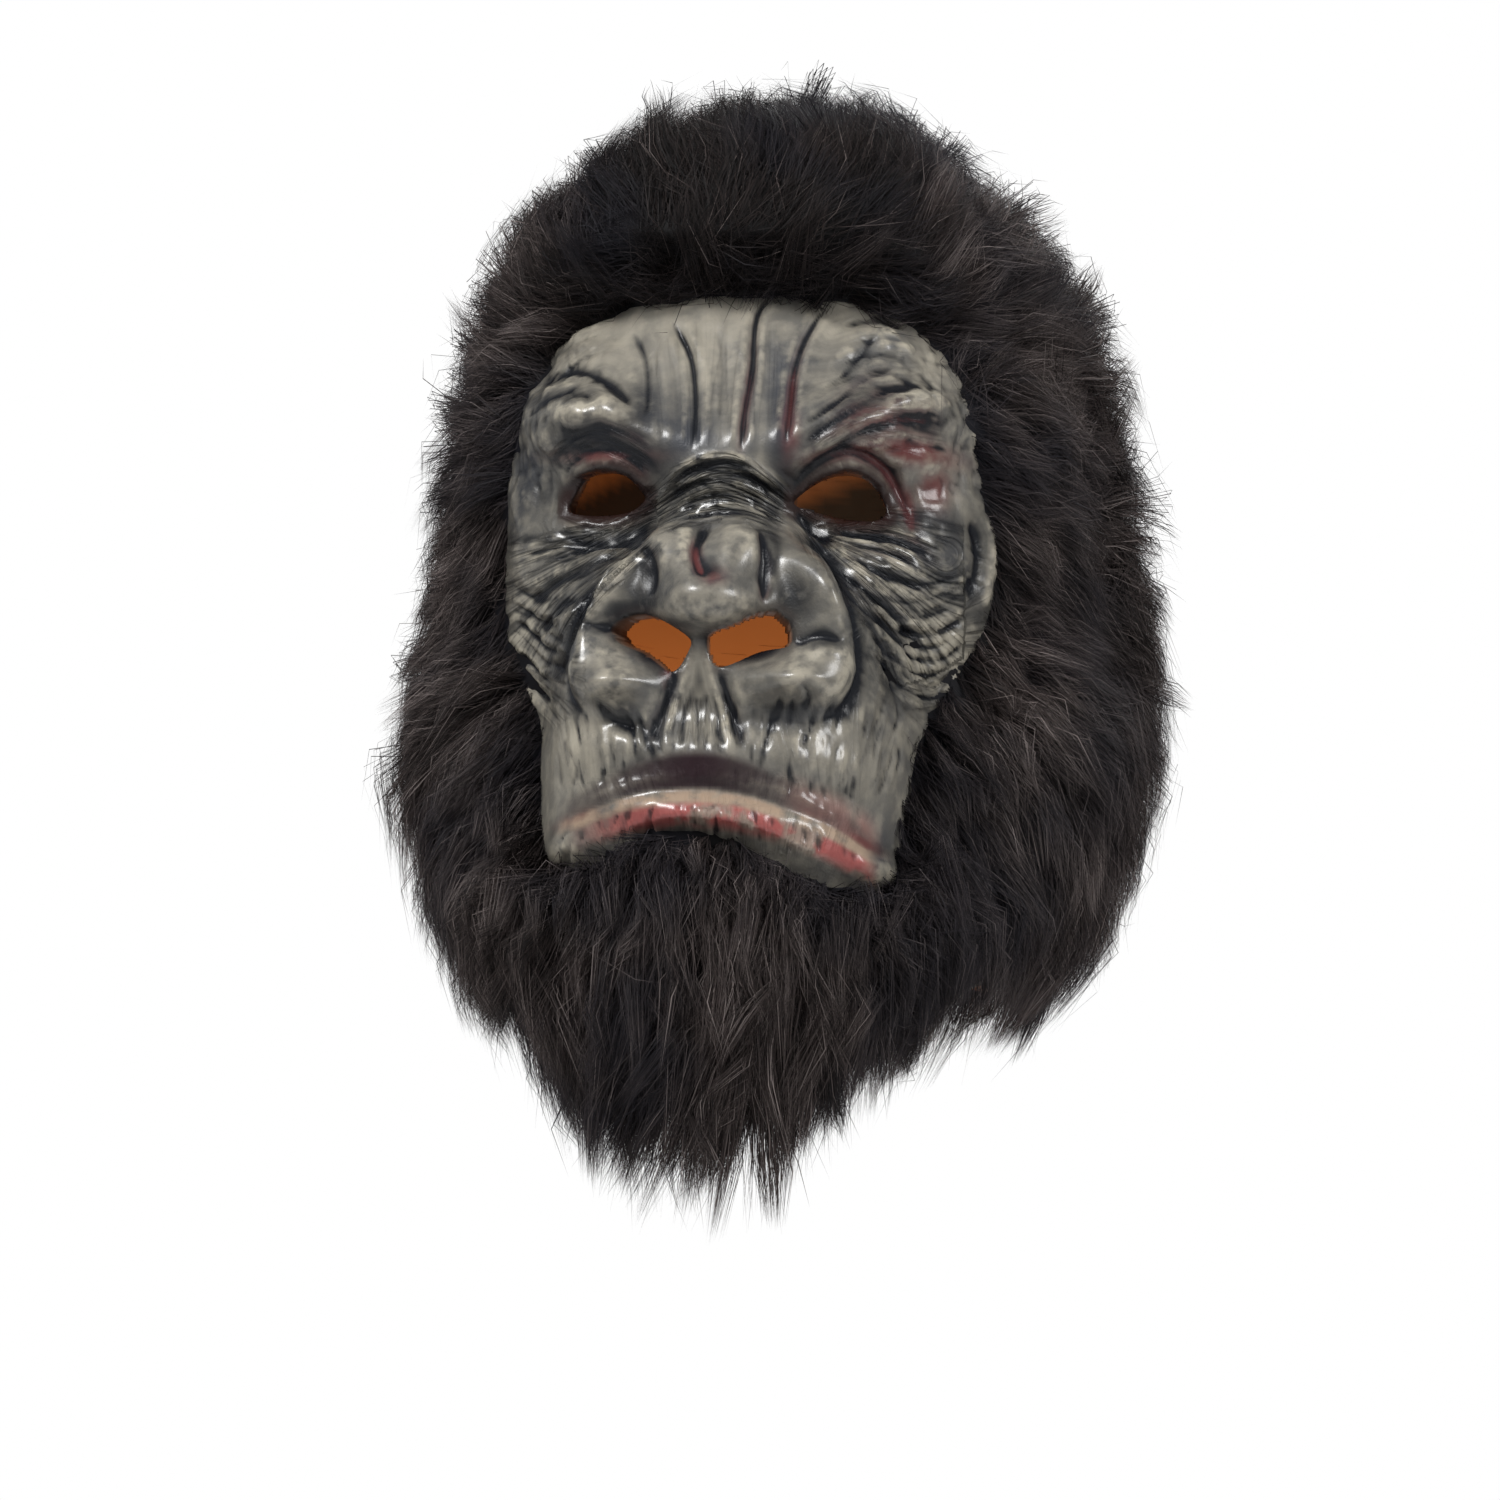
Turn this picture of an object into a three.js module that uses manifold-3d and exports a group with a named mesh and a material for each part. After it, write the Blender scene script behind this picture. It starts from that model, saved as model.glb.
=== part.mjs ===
// A pull-over gorilla mask: one hollow moulded rubber head with open eyes and nostrils, and long
// faux-fur panels glued round its bare face. Lengths are in millimetres, +Z is up and the face
// looks along -Y. The origin is the inside of the crown, where the wearer's head carries the mask.
import * as THREE from "three";
import { mergeVertices } from "three/addons/utils/BufferGeometryUtils.js";
import Module from "manifold-3d";

// The moulded rubber head
const wall = 3;
const thinnest = 1; // what the deepest creases leave of the wall
const crownToNape = 238; // from the crown down to the rubber's edge at the back
const crownToSide = 252;
const crownToBib = 298; // the front edge hangs lower and backs the beard
const headHalfWidth = 83;
const headFront = 103;
const headBack = 106;
const muzzleBlend = 14; // how far the muzzle's root is rounded into the skull
const muzzleReach = 134; // from the head's axis to the front of the upper lip
const muzzleHalfWidth = 62;

// The bare face, measured square on from the front
const faceTop = 51; // drop from the crown to the face's upper edge
const faceHeight = 188; // from that edge to the lowest point of the lower lip's corners
const faceHalfWidth = 79;
const browRise = 11;
const noseRise = 11;
const lipRise = 6;
const mouthDroop = 5; // how far the mouth's +X corner hangs below level, and the other rises
const creaseDepth = 2;

// The holes to see and breathe through
const eyeSpacing = 72;
const eyeDrop = 115;
const eyeWidth = 25;
const eyeHeight = 14;
const nostrilSpacing = 31;
const nostrilDrop = 167;
const nostrilWidth = 24;
const nostrilHeight = 15;

// The fur
const glueGap = 0.9; // between the rubber and a panel's backing
const seamGap = 0.6; // between two panels
const crownPile = 39;
const crestRise = 4; // how far the crest stands above the side panels
const furHalfWidth = 124;
const furFront = 144;
const furBack = 140;
const furSkirt = 22; // how far the pile hangs below the rubber's edge
const beardDrop = 325;
const lockLength = 66;
const lockWidth = 44;
const lockPitch = 50; // from one lock to the next in its row
const lockRise = 9; // how far a lock's tip stands off the coat
const lockRoot = 2; // how deep its root lies in the coat
const lockKeel = 14; // how deep its underside goes, so that the lock is one body with the coat
const lockRowStep = 56; // from one row to the next
const crestHalfWidth = 50; // of the centre panel that runs over the crown to the nape
const beardHalfWidth = 66;
const windowFlare = 0.7; // how much the fur's edge round the face leans back, for each mm of its depth

// How finely the surfaces are divided
const fineStep = 3.2; // degrees between columns over the nose and mouth
const cheekStep = 6;
const backStep = 15;
const noseTo = 27; // degrees from the front where the fine columns end
const cheeksTo = 75;
const crownRows = [0.03, 0.14, 0.35, 0.65]; // rows over the crown, as shares of faceTop
const faceRowStep = 7.7;
const rowLead = 4; // how far above the face its rows begin
const plainRowStep = 14;
const coatColumns = 24;
const coatRows = 8;

const degree = Math.PI / 180;
const axisDown = -900; // a cutter's far end, well past the part
const pastEdge = 60; // how far a cutter goes on past what it cuts

// Reach of the bare head at each level, as shares of headFront, headHalfWidth and headBack. Drops are
// shares of crownToNape.
const headLevels = [
  { drop: 0.0, front: 0.0, side: 0.0, back: 0.0 },
  { drop: 0.04, front: 0.41, side: 0.44, back: 0.45 },
  { drop: 0.13, front: 0.68, side: 0.73, back: 0.74 },
  { drop: 0.25, front: 0.88, side: 0.92, back: 0.92 },
  { drop: 0.4, front: 1.0, side: 1.0, back: 1.0 },
  { drop: 0.55, front: 0.97, side: 1.0, back: 0.98 },
  { drop: 0.71, front: 0.9, side: 0.97, back: 0.89 },
  { drop: 0.88, front: 0.88, side: 0.9, back: 0.8 },
  { drop: 1.05, front: 0.88, side: 0.84, back: 0.77 },
  { drop: 1.3, front: 0.84, side: 0.8, back: 0.76 },
];

// The muzzle and chin, as shares of muzzleReach and muzzleHalfWidth
const muzzleLevels = [
  { drop: 0.42, front: 0.5, side: 0.7 },
  { drop: 0.5, front: 0.7, side: 0.8 },
  { drop: 0.57, front: 0.86, side: 0.9 },
  { drop: 0.66, front: 0.94, side: 0.96 },
  { drop: 0.76, front: 0.95, side: 1.0 },
  { drop: 0.86, front: 0.98, side: 1.02 },
  { drop: 0.93, front: 0.96, side: 1.0 },
  { drop: 1.02, front: 0.91, side: 0.96 },
  { drop: 1.14, front: 0.82, side: 0.88 },
  { drop: 1.3, front: 0.72, side: 0.84 },
];

// Outer reach of the fur, as shares of furFront, furHalfWidth and furBack. Drops are shares of
// beardDrop, counted from the top of the pile at the crown.
const furLevels = [
  { drop: 0.0, front: 0.0, side: 0.0, back: 0.0 },
  { drop: 0.028, front: 0.28, side: 0.3, back: 0.38 },
  { drop: 0.075, front: 0.52, side: 0.58, back: 0.62 },
  { drop: 0.167, front: 0.74, side: 0.8, back: 0.86 },
  { drop: 0.258, front: 0.83, side: 0.9, back: 0.96 },
  { drop: 0.353, front: 0.85, side: 0.96, back: 1.0 },
  { drop: 0.45, front: 0.83, side: 1.0, back: 1.0 },
  { drop: 0.54, front: 0.84, side: 1.02, back: 0.97 },
  { drop: 0.63, front: 0.92, side: 1.0, back: 0.93 },
  { drop: 0.72, front: 1.0, side: 0.91, back: 0.89 },
  { drop: 0.82, front: 1.0, side: 0.77, back: 0.85 },
  { drop: 0.9, front: 0.96, side: 0.6, back: 0.82 },
  { drop: 1.0, front: 0.84, side: 0.42, back: 0.8 },
];

// Broad swellings that both faces of the rubber follow. across and down are shares of faceHalfWidth
// and faceHeight from the face's top centre, wide and tall the half-sizes in the same shares, and
// rise a share of the size named in of. A row with pair is made on both sides.
const swellings = [
  { of: browRise, across: 0.45, down: 0.23, wide: 0.36, tall: 0.065, rise: 1.1, slope: -0.16, pair: true },
  { of: browRise, across: 0.0, down: 0.25, wide: 0.18, tall: 0.08, rise: 0.5, slope: 0, pair: false },
  { of: browRise, across: 0.46, down: 0.35, wide: 0.22, tall: 0.06, rise: -0.75, slope: -0.1, pair: true },
  { of: browRise, across: 0.62, down: 0.48, wide: 0.24, tall: 0.11, rise: 0.45, slope: -0.3, pair: true },
  { of: noseRise, across: 0.0, down: 0.52, wide: 0.3, tall: 0.12, rise: 0.75, slope: 0, pair: false },
];

// Thicker forms on the outer face alone, in the same terms
const mouldings = [
  { of: noseRise, across: 0.14, down: 0.46, wide: 0.13, tall: 0.05, rise: 0.6, slope: 0, pair: true },
  { of: noseRise, across: 0.0, down: 0.55, wide: 0.16, tall: 0.05, rise: 0.65, slope: 0, pair: false },
  { of: noseRise, across: 0.43, down: 0.6, wide: 0.12, tall: 0.09, rise: 1.1, slope: 0, pair: true },
  { of: noseRise, across: 0.3, down: 0.69, wide: 0.2, tall: 0.045, rise: 0.8, slope: 0.1, pair: true },
  { of: noseRise, across: 0.34, down: 0.515, wide: 0.13, tall: 0.04, rise: 0.65, slope: 0.4, pair: true },
  { of: lipRise, across: 0.0, down: 0.79, wide: 0.5, tall: 0.035, rise: 0.7, slope: 0, pair: false },
  { of: lipRise, across: 0.0, down: 0.885, wide: 0.45, tall: 0.03, rise: 1.0, slope: 0, pair: false },
  { of: lipRise, across: 0.48, down: 0.925, wide: 0.18, tall: 0.035, rise: 0.7, slope: 0, pair: true },
];

// Creases pressed into the outer face, from one end to the other, with a bow to one side
const creases = [
  { name: "left furrow", x1: -0.2, d1: 0.07, x2: -0.13, d2: 0.24, bow: 0.03, width: 0.08, depth: 1.0 },
  { name: "middle furrow", x1: 0.08, d1: 0.02, x2: 0.03, d2: 0.26, bow: 0.02, width: 0.08, depth: 0.9 },
  { name: "right furrow", x1: 0.34, d1: 0.04, x2: 0.24, d2: 0.24, bow: 0.02, width: 0.08, depth: 1.0 },
  { name: "left temple fold", x1: -0.86, d1: 0.2, x2: -0.32, d2: 0.16, bow: 0.05, width: 0.1, depth: 0.8 },
  { name: "right temple fold", x1: 0.34, d1: 0.16, x2: 0.86, d2: 0.2, bow: 0.06, width: 0.1, depth: 0.8 },
  { name: "left cheek fold", x1: -0.12, d1: 0.37, x2: -0.82, d2: 0.62, bow: 0.03, width: 0.1, depth: 0.9 },
  { name: "right cheek fold", x1: 0.82, d1: 0.62, x2: 0.12, d2: 0.37, bow: 0.03, width: 0.1, depth: 0.9 },
  { name: "mouth", x1: -0.62, d1: 0.895, x2: 0.62, d2: 0.895, bow: 0.055, width: 0.06, depth: 1.6 },
];

// Edge of the bare face from its top centre down one side to the chin, in shares of faceHalfWidth
// and faceHeight
const faceEdge = [
  { across: 0.0, down: 0.0 },
  { across: 0.3, down: 0.003 },
  { across: 0.52, down: 0.016 },
  { across: 0.69, down: 0.05 },
  { across: 0.81, down: 0.1 },
  { across: 0.88, down: 0.19 },
  { across: 0.93, down: 0.3 },
  { across: 0.96, down: 0.42 },
  { across: 0.94, down: 0.51 },
  { across: 0.84, down: 0.6 },
  { across: 0.73, down: 0.71 },
  { across: 0.69, down: 0.83 },
  { across: 0.66, down: 0.91 },
  { across: 0.61, down: 0.955 },
  { across: 0.5, down: 0.965 },
  { across: 0.36, down: 0.955 },
  { across: 0.15, down: 0.918 },
  { across: 0.0, down: 0.91 },
];

// An eye hole and a nostril, as shares of their own half-width and half-height about their centre,
// with outward the side away from the nose
const eyeOutline = [
  { outward: -1.0, up: -0.1 },
  { outward: -0.55, up: 0.62 },
  { outward: 0.1, up: 1.0 },
  { outward: 0.7, up: 0.6 },
  { outward: 1.0, up: -0.45 },
  { outward: 0.55, up: -0.95 },
  { outward: -0.25, up: -0.85 },
];
const nostrilOutline = [
  { outward: -1.0, up: -0.5 },
  { outward: -0.9, up: 0.0 },
  { outward: 0.05, up: 0.85 },
  { outward: 0.85, up: 1.0 },
  { outward: 1.0, up: 0.3 },
  { outward: 0.8, up: -0.2 },
  { outward: 0.0, up: -0.55 },
  { outward: -0.7, up: -1.0 },
];

const wasm = await Module();
wasm.setup();
const { Manifold, Mesh } = wasm;

// Value of one column of a table at a drop, on a smooth curve through its rows. The square is what
// is interpolated, so that the curve closes roundly on the axis.
function levelReach(levels, column, share) {
  const last = levels.length - 1;
  const at = THREE.MathUtils.clamp(share, levels[0].drop, levels[last].drop);
  let i = 0;
  while (i < last - 1 && levels[i + 1].drop < at) i += 1;
  const square = (k) => levels[THREE.MathUtils.clamp(k, 0, last)][column] ** 2;
  const drop = (k) => levels[THREE.MathUtils.clamp(k, 0, last)].drop;
  const slope = (k) => (square(k + 1) - square(k - 1)) / (drop(k + 1) - drop(k - 1));
  const span = drop(i + 1) - drop(i);
  const t = (at - drop(i)) / span;
  const value =
    square(i) * (1 + 2 * t) * (1 - t) ** 2 +
    slope(i) * span * t * (1 - t) ** 2 +
    square(i + 1) * t * t * (3 - 2 * t) +
    slope(i + 1) * span * t * t * (t - 1);
  return Math.sqrt(Math.max(value, 0));
}

// Distance from the axis to a rounded box with these reaches, seen at an angle from the front
function boxReach(angle, front, side, power) {
  const ahead = Math.abs(Math.cos(angle)) / front;
  const aside = Math.abs(Math.sin(angle)) / side;
  return (ahead ** power + aside ** power) ** (-1 / power);
}

function smoothLarger(a, b, blend) {
  const near = Math.max(blend - Math.abs(a - b), 0) / blend;
  return Math.max(a, b) + (near * near * blend) / 4;
}

// The head without its face: a skull and jaw, and the muzzle blended on in front
function headReach(angle, drop) {
  const share = drop / crownToNape;
  const ahead = Math.cos(angle) > 0;
  const length = ahead
    ? headFront * levelReach(headLevels, "front", share)
    : headBack * levelReach(headLevels, "back", share);
  const flat = ahead ? 2.2 + 0.4 * THREE.MathUtils.smoothstep(share, 0.1, 0.35) : 2.2;
  const skull = boxReach(angle, length, headHalfWidth * levelReach(headLevels, "side", share), flat);
  if (!ahead || share < muzzleLevels[0].drop) return skull;
  const muzzle = boxReach(
    angle,
    muzzleReach * levelReach(muzzleLevels, "front", share),
    muzzleHalfWidth * levelReach(muzzleLevels, "side", share),
    2.8,
  );
  return smoothLarger(skull, muzzle, muzzleBlend);
}

function moundHeight(row, x, down) {
  const one = (side) => {
    const across = x / faceHalfWidth - side * row.across;
    const below = down - row.down - row.slope * across * side;
    return Math.exp(-((across / row.wide) ** 2) - (below / row.tall) ** 2);
  };
  return row.of * row.rise * (row.pair ? one(1) + one(-1) : one(1));
}

// Depth of a crease where the point is nearest to its bowed line
function creaseHeight(row, x, down) {
  const tall = faceHeight / faceHalfWidth;
  const px = x / faceHalfWidth - row.x1;
  const pd = (down - row.d1) * tall;
  const dx = row.x2 - row.x1;
  const dd = (row.d2 - row.d1) * tall;
  const length = Math.hypot(dx, dd);
  const along = (px * dx + pd * dd) / length ** 2;
  const aside = (px * dd - pd * dx) / length - row.bow * tall * (1 - (2 * along - 1) ** 2);
  const past = Math.max(Math.abs(2 * along - 1) - 1, 0) * length;
  return -creaseDepth * row.depth * Math.exp(-((aside / row.width) ** 2) - (past / row.width) ** 2);
}

// How far the mouth and lips sag at a point of the face
function droopAt(x, drop) {
  return ((mouthDroop * x) / muzzleHalfWidth) * THREE.MathUtils.smoothstep((drop - faceTop) / faceHeight, 0.65, 0.85);
}

// What the face adds to the head at a point seen square on. It fades out behind the face's sides.
// detail 0 has the broad swellings, 1 the thicker forms as well and 2 the creases too.
function faceRise(angle, drop, x, detail) {
  const ahead = THREE.MathUtils.smoothstep(Math.cos(angle), 0.45, 0.8);
  if (ahead === 0) return 0;
  const down = (drop - droopAt(x, drop) - faceTop) / faceHeight;
  let rise = 0;
  for (const row of swellings) rise += moundHeight(row, x, down);
  if (detail > 0) for (const row of mouldings) rise += moundHeight(row, x, down);
  if (detail > 1) rise += Math.max(creases.reduce((sum, row) => sum + creaseHeight(row, x, down), 0), thinnest - wall);
  return rise * ahead;
}

function rubberReach(angle, drop, detail) {
  const reach = headReach(angle, drop);
  return reach + faceRise(angle, drop, reach * Math.sin(angle), detail);
}

// Drop of the rubber's lower edge round the neck: the bib in front, the nape behind
function rubberEdge(angle) {
  const c = Math.cos(angle);
  return c > 0
    ? crownToSide + (crownToBib - crownToSide) * c ** 3
    : crownToSide + (crownToNape - crownToSide) * c ** 2;
}

function pointAt(angle, reach, z) {
  return new THREE.Vector3(reach * Math.sin(angle), -reach * Math.cos(angle), z);
}

// Point on the rubber, moved out along the surface's own slope by offset, or in where it is negative
function rubberPoint(angle, drop, offset, detail) {
  const turn = 0.02;
  const step = 2;
  const at = (a, d) => pointAt(a, rubberReach(a, d, 0), -d);
  const round = at(angle + turn, drop).sub(at(angle - turn, drop));
  const fall = at(angle, drop + step).sub(at(angle, Math.max(drop - step, 0.5)));
  const out = fall.cross(round).normalize();
  const reach = rubberReach(angle, drop, detail);
  return pointAt(angle, reach, -drop).addScaledVector(out, offset);
}

function facesSolid(faces) {
  const numbers = new Float32Array(faces.flat().flatMap((p) => [p.x, p.y, p.z]));
  return solidOf(new THREE.BufferGeometry().setAttribute("position", new THREE.BufferAttribute(numbers, 3)));
}

// Closed solid from rings of points under one pole, with the last ring capped to its own middle
function ringSolid(pole, rings) {
  const count = rings[0].length;
  const last = rings[rings.length - 1];
  const foot = last.reduce((sum, p) => sum.add(p), new THREE.Vector3()).divideScalar(count);
  const faces = [];
  for (let j = 0; j < count; j += 1) {
    const k = (j + 1) % count;
    faces.push([pole, rings[0][j], rings[0][k]]);
    for (let i = 0; i + 1 < rings.length; i += 1) {
      faces.push([rings[i][j], rings[i + 1][j], rings[i + 1][k]]);
      faces.push([rings[i][j], rings[i + 1][k], rings[i][k]]);
    }
    faces.push([foot, last[k], last[j]]);
  }
  return facesSolid(faces);
}

function solidOf(geometry) {
  const bare = geometry.index ? geometry.toNonIndexed() : geometry;
  for (const name of Object.keys(bare.attributes)) if (name !== "position") bare.deleteAttribute(name);
  const merged = mergeVertices(bare, 1e-3);
  const solid = new Manifold(
    new Mesh({
      numProp: 3,
      vertProperties: merged.attributes.position.array,
      triVerts: new Uint32Array(merged.index.array),
    }),
  );
  return solid;
}

// Angles of the columns: close together over the nose and mouth, wide apart behind. every widens
// the steps in front, and everyOnCheeks those beside them.
function columnAngles(every = 1, everyOnCheeks = every) {
  const half = [];
  const spread = (from, to, step) => {
    const count = Math.round((to - from) / step);
    for (let i = 0; i < count; i += 1) half.push(from + ((to - from) * i) / count);
  };
  spread(0, noseTo, fineStep * every);
  spread(noseTo, cheeksTo, cheekStep * everyOnCheeks);
  spread(cheeksTo, 180, backStep);
  return [...half.slice(1).map((a) => -a).reverse(), ...half, 180].map((a) => a * degree);
}

// Drops of the rows, with a closer spacing over the face. Of the rows between thinFrom and thinTo
// each second one is left out.
function rowDrops(thinFrom = 0, thinTo = 0) {
  const drops = crownRows.map((share) => share * faceTop);
  const faceBottom = faceTop + faceHeight;
  const span = faceHeight + rowLead;
  const rows = Math.round(span / faceRowStep);
  for (let i = 0; i <= rows; i += 1) drops.push(faceTop - rowLead + (span * i) / rows);
  const tail = Math.max(Math.round((crownToBib - faceBottom) / plainRowStep), 2);
  for (let i = 1; i <= tail; i += 1) drops.push(faceBottom + ((crownToBib - faceBottom) * i) / tail);
  return drops.filter((drop, i) => drop < thinFrom || drop > thinTo || i % 2 === 0);
}

// The rubber head's surface, or one offset from it, as a solid. The rows keep to their level down
// to the jaw and below it close up towards the edge's own height at each angle.
function headSolid({ offset, angles, drops, detail, extend }) {
  const jaw = 0.8 * crownToNape;
  const rings = drops.map((drop) =>
    angles.map((angle) => {
      const share = Math.max(drop - jaw, 0) / (crownToBib - jaw);
      const level = drop <= jaw ? drop : jaw + share * (rubberEdge(angle) - jaw);
      return rubberPoint(angle, level, offset, detail);
    }),
  );
  if (extend) rings.push(rings[rings.length - 1].map((p) => new THREE.Vector3(p.x, p.y, -crownToBib - extend)));
  return ringSolid(new THREE.Vector3(0, 0, offset), rings);
}

// Prism along Y, from well in front of the face to backTo, with a smooth outline in the front view
function frontCutter(outline, backTo) {
  const curve = new THREE.CatmullRomCurve3(
    outline.map(([x, z]) => new THREE.Vector3(x, z, 0)),
    true,
    "centripetal",
  );
  const shape = new THREE.Shape(curve.getPoints(2 * outline.length).slice(0, -1).map((p) => new THREE.Vector2(p.x, p.y)));
  const reach = 3 * muzzleReach;
  const prism = new THREE.ExtrudeGeometry(shape, { depth: reach, bevelEnabled: false });
  prism.rotateX(90 * degree).translate(0, backTo, 0);
  return solidOf(prism);
}

function holeCutter(outline, side, centreX, centreDrop, width, height, backTo) {
  const points = outline.map(({ outward, up }) => [
    side * (centreX + (outward * width) / 2),
    -centreDrop + (up * height) / 2,
  ]);
  return frontCutter(side > 0 ? points : points.reverse(), backTo);
}

function rubberHead() {
  const outer = headSolid({ offset: wall, angles: columnAngles(), drops: rowDrops(), detail: 2, extend: 0 });
  const sparse = { angles: columnAngles(2), drops: rowDrops(eyeDrop + eyeHeight, crownToBib - 1) };
  const hollow = headSolid({ offset: 0, ...sparse, detail: 0, extend: pastEdge });
  let head = outer.subtract(hollow);
  for (const side of [-1, 1]) {
    const eye = holeCutter(eyeOutline, side, eyeSpacing / 2, eyeDrop, eyeWidth, eyeHeight, 0);
    const nostril = holeCutter(
      nostrilOutline,
      side,
      nostrilSpacing / 2,
      nostrilDrop,
      nostrilWidth,
      nostrilHeight,
      -headFront,
    );
    head = head.subtract(eye).subtract(nostril);
  }
  return head;
}

// Drop of the fur's lower edge: the beard in front, the skirt of pile at the sides and back
function furEdge(angle) {
  const c = Math.cos(angle);
  const side = crownToSide + furSkirt;
  return c > 0 ? side + (beardDrop - side) * c ** 5 : side + (crownToNape - crownToSide) * c ** 2;
}

// Point of the coat under the locks, where share runs down a column from the crown to the edge
function coatPoint(angle, share, rise) {
  const drop = share ** 1.4 * (furEdge(angle) + crownPile) - crownPile;
  const level = (drop + crownPile) / (beardDrop + crownPile);
  const [column, length] = Math.cos(angle) > 0 ? ["front", furFront] : ["back", furBack];
  const reach = boxReach(
    angle,
    length * levelReach(furLevels, column, level),
    furHalfWidth * levelReach(furLevels, "side", level),
    2.1,
  );
  return pointAt(angle, reach, -drop + rise);
}

// One pointed lock of pile, rooted in the coat and hanging clear of it at its tip
function lockSolid(angle, share, rise) {
  const step = 0.01;
  const root = coatPoint(angle, share, rise);
  const down = coatPoint(angle, share + step, rise).sub(root);
  const reachShare = (lockLength * step) / down.length();
  const middle = coatPoint(angle, Math.min(share + 0.42 * reachShare, 1), rise);
  const tip = coatPoint(angle, Math.min(share + reachShare, 1 + 0.22 * reachShare), rise);
  const across = new THREE.Vector3(Math.cos(angle), Math.sin(angle), 0);
  const out = across.clone().cross(tip.clone().sub(root)).normalize().negate();
  const corner = (from, aside, lift) => from.clone().addScaledVector(across, aside).addScaledVector(out, lift);
  const top = corner(root, 0, -lockRoot);
  const left = corner(middle, -lockWidth / 2, -lockRoot);
  const right = corner(middle, lockWidth / 2, -lockRoot);
  const end = corner(tip, 0, lockRise);
  const keel = corner(middle, 0, -lockKeel);
  return facesSolid([
    [top, left, end],
    [top, end, right],
    [top, keel, left],
    [top, right, keel],
    [left, keel, end],
    [right, end, keel],
  ]);
}

// The coat of fur with its locks as one solid, before it is cut into panels. rise lifts all of it.
function furSolid(rise) {
  const rings = [];
  for (let i = 1; i <= coatRows; i += 1) {
    const ring = [];
    for (let j = 0; j < coatColumns; j += 1) ring.push(coatPoint((j / coatColumns) * 2 * Math.PI, i / coatRows, rise));
    rings.push(ring);
  }
  const solids = [ringSolid(new THREE.Vector3(0, 0, crownPile + rise), rings)];
  const side = (share) => coatPoint(Math.PI / 2, share, 0);
  let share = 0.08;
  for (let row = 0; share < 0.95; row += 1) {
    const count = Math.max(Math.round((2 * Math.PI * side(share + 0.06).x) / lockPitch), 6);
    for (let k = 0; k < count; k += 1) {
      solids.push(lockSolid(((k + (row % 2) / 2) / count) * 2 * Math.PI, share, rise));
    }
    share += (lockRowStep * 0.01) / side(share + 0.01).distanceTo(side(share));
  }
  return Manifold.union(solids);
}

// Axis-aligned box from two corners
function box(low, high) {
  const size = high.map((h, i) => h - low[i]);
  const middle = high.map((h, i) => (h + low[i]) / 2);
  return solidOf(new THREE.BoxGeometry(...size).translate(...middle));
}

// Level Y of the rubber's outer surface where it is seen square on at x and drop
function surfaceY(x, drop) {
  let angle = 0;
  for (let i = 0; i < 7; i += 1) {
    const reach = rubberReach(angle, drop, 0) + wall;
    angle = Math.asin(THREE.MathUtils.clamp(x / reach, -1, 1));
  }
  return -(rubberReach(angle, drop, 0) + wall) * Math.cos(angle);
}

// What clears the bare face: a prism of its outline, and a body that widens from the rubber outwards
function faceWindow() {
  const half = faceEdge.map(({ across, down }) => {
    const x = across * faceHalfWidth;
    const drop = faceTop + down * faceHeight;
    return { x, drop };
  });
  const edge = [...half, ...half.slice(1, -1).reverse().map(({ x, drop }) => ({ x: -x, drop }))];
  const middle = faceTop + faceHeight / 2;
  const ring = (grow, yAt) =>
    edge.map(({ x, drop }) => {
      const wider = x * (1 + grow / faceHalfWidth);
      const lower = middle + (drop + droopAt(x, drop) - middle) * (1 + (2 * grow) / faceHeight);
      return new THREE.Vector3(wider, yAt(x, drop), -lower);
    });
  const back = -0.25 * headFront;
  const rings = [
    ring(0, () => back),
    ring(0, surfaceY),
    ring(windowFlare * pastEdge, (x, drop) => surfaceY(x, drop) - pastEdge),
  ];
  const prism = frontCutter(
    rings[0].map((p) => [p.x, p.z]),
    back,
  );
  return [prism, ringSolid(new THREE.Vector3(0, back, -middle), rings)];
}

// The coat, cleared off the rubber and the bare face, and cut into its sewn panels
function furPanels() {
  const lips = faceTop + 0.7 * faceHeight;
  const core = headSolid({
    offset: wall + glueGap,
    angles: columnAngles(),
    drops: rowDrops(eyeDrop, lips),
    detail: 1,
    extend: 2 * pastEdge,
  });
  const [window, flare] = faceWindow();
  const cleared = (rise) => furSolid(rise).subtract(core).subtract(window).subtract(flare);
  const far = -axisDown;
  const chin = -faceTop - 0.915 * faceHeight;
  const half = seamGap / 2;
  const beardBox = (grow) =>
    box([-beardHalfWidth - grow, -far, axisDown], [beardHalfWidth + grow, -0.3 * headFront + grow, chin + grow]);
  const coat = cleared(0);
  const hood = coat.subtract(beardBox(half));
  const crestBox = box([-crestHalfWidth + half, -far, axisDown], [crestHalfWidth - half, far, far]);
  return {
    beard_fur: largest(coat.intersect(beardBox(-half))),
    crest_fur: largest(cleared(crestRise).subtract(beardBox(half)).intersect(crestBox)),
    left_side_fur: largest(hood.intersect(box([crestHalfWidth + half, -far, axisDown], [far, far, far]))),
    right_side_fur: largest(hood.intersect(box([-far, -far, axisDown], [-crestHalfWidth - half, far, far]))),
  };
}

// A panel without the loose tips that its seams cut off its neighbours' locks
function largest(solid) {
  return solid.decompose().sort((a, b) => b.volume() - a.volume())[0];
}

const rubber = new THREE.MeshStandardMaterial({ color: 0x6b6a66, roughness: 0.45, metalness: 0 });
const fur = new THREE.MeshStandardMaterial({ color: 0x1d1716, roughness: 0.9, metalness: 0 });

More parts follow.
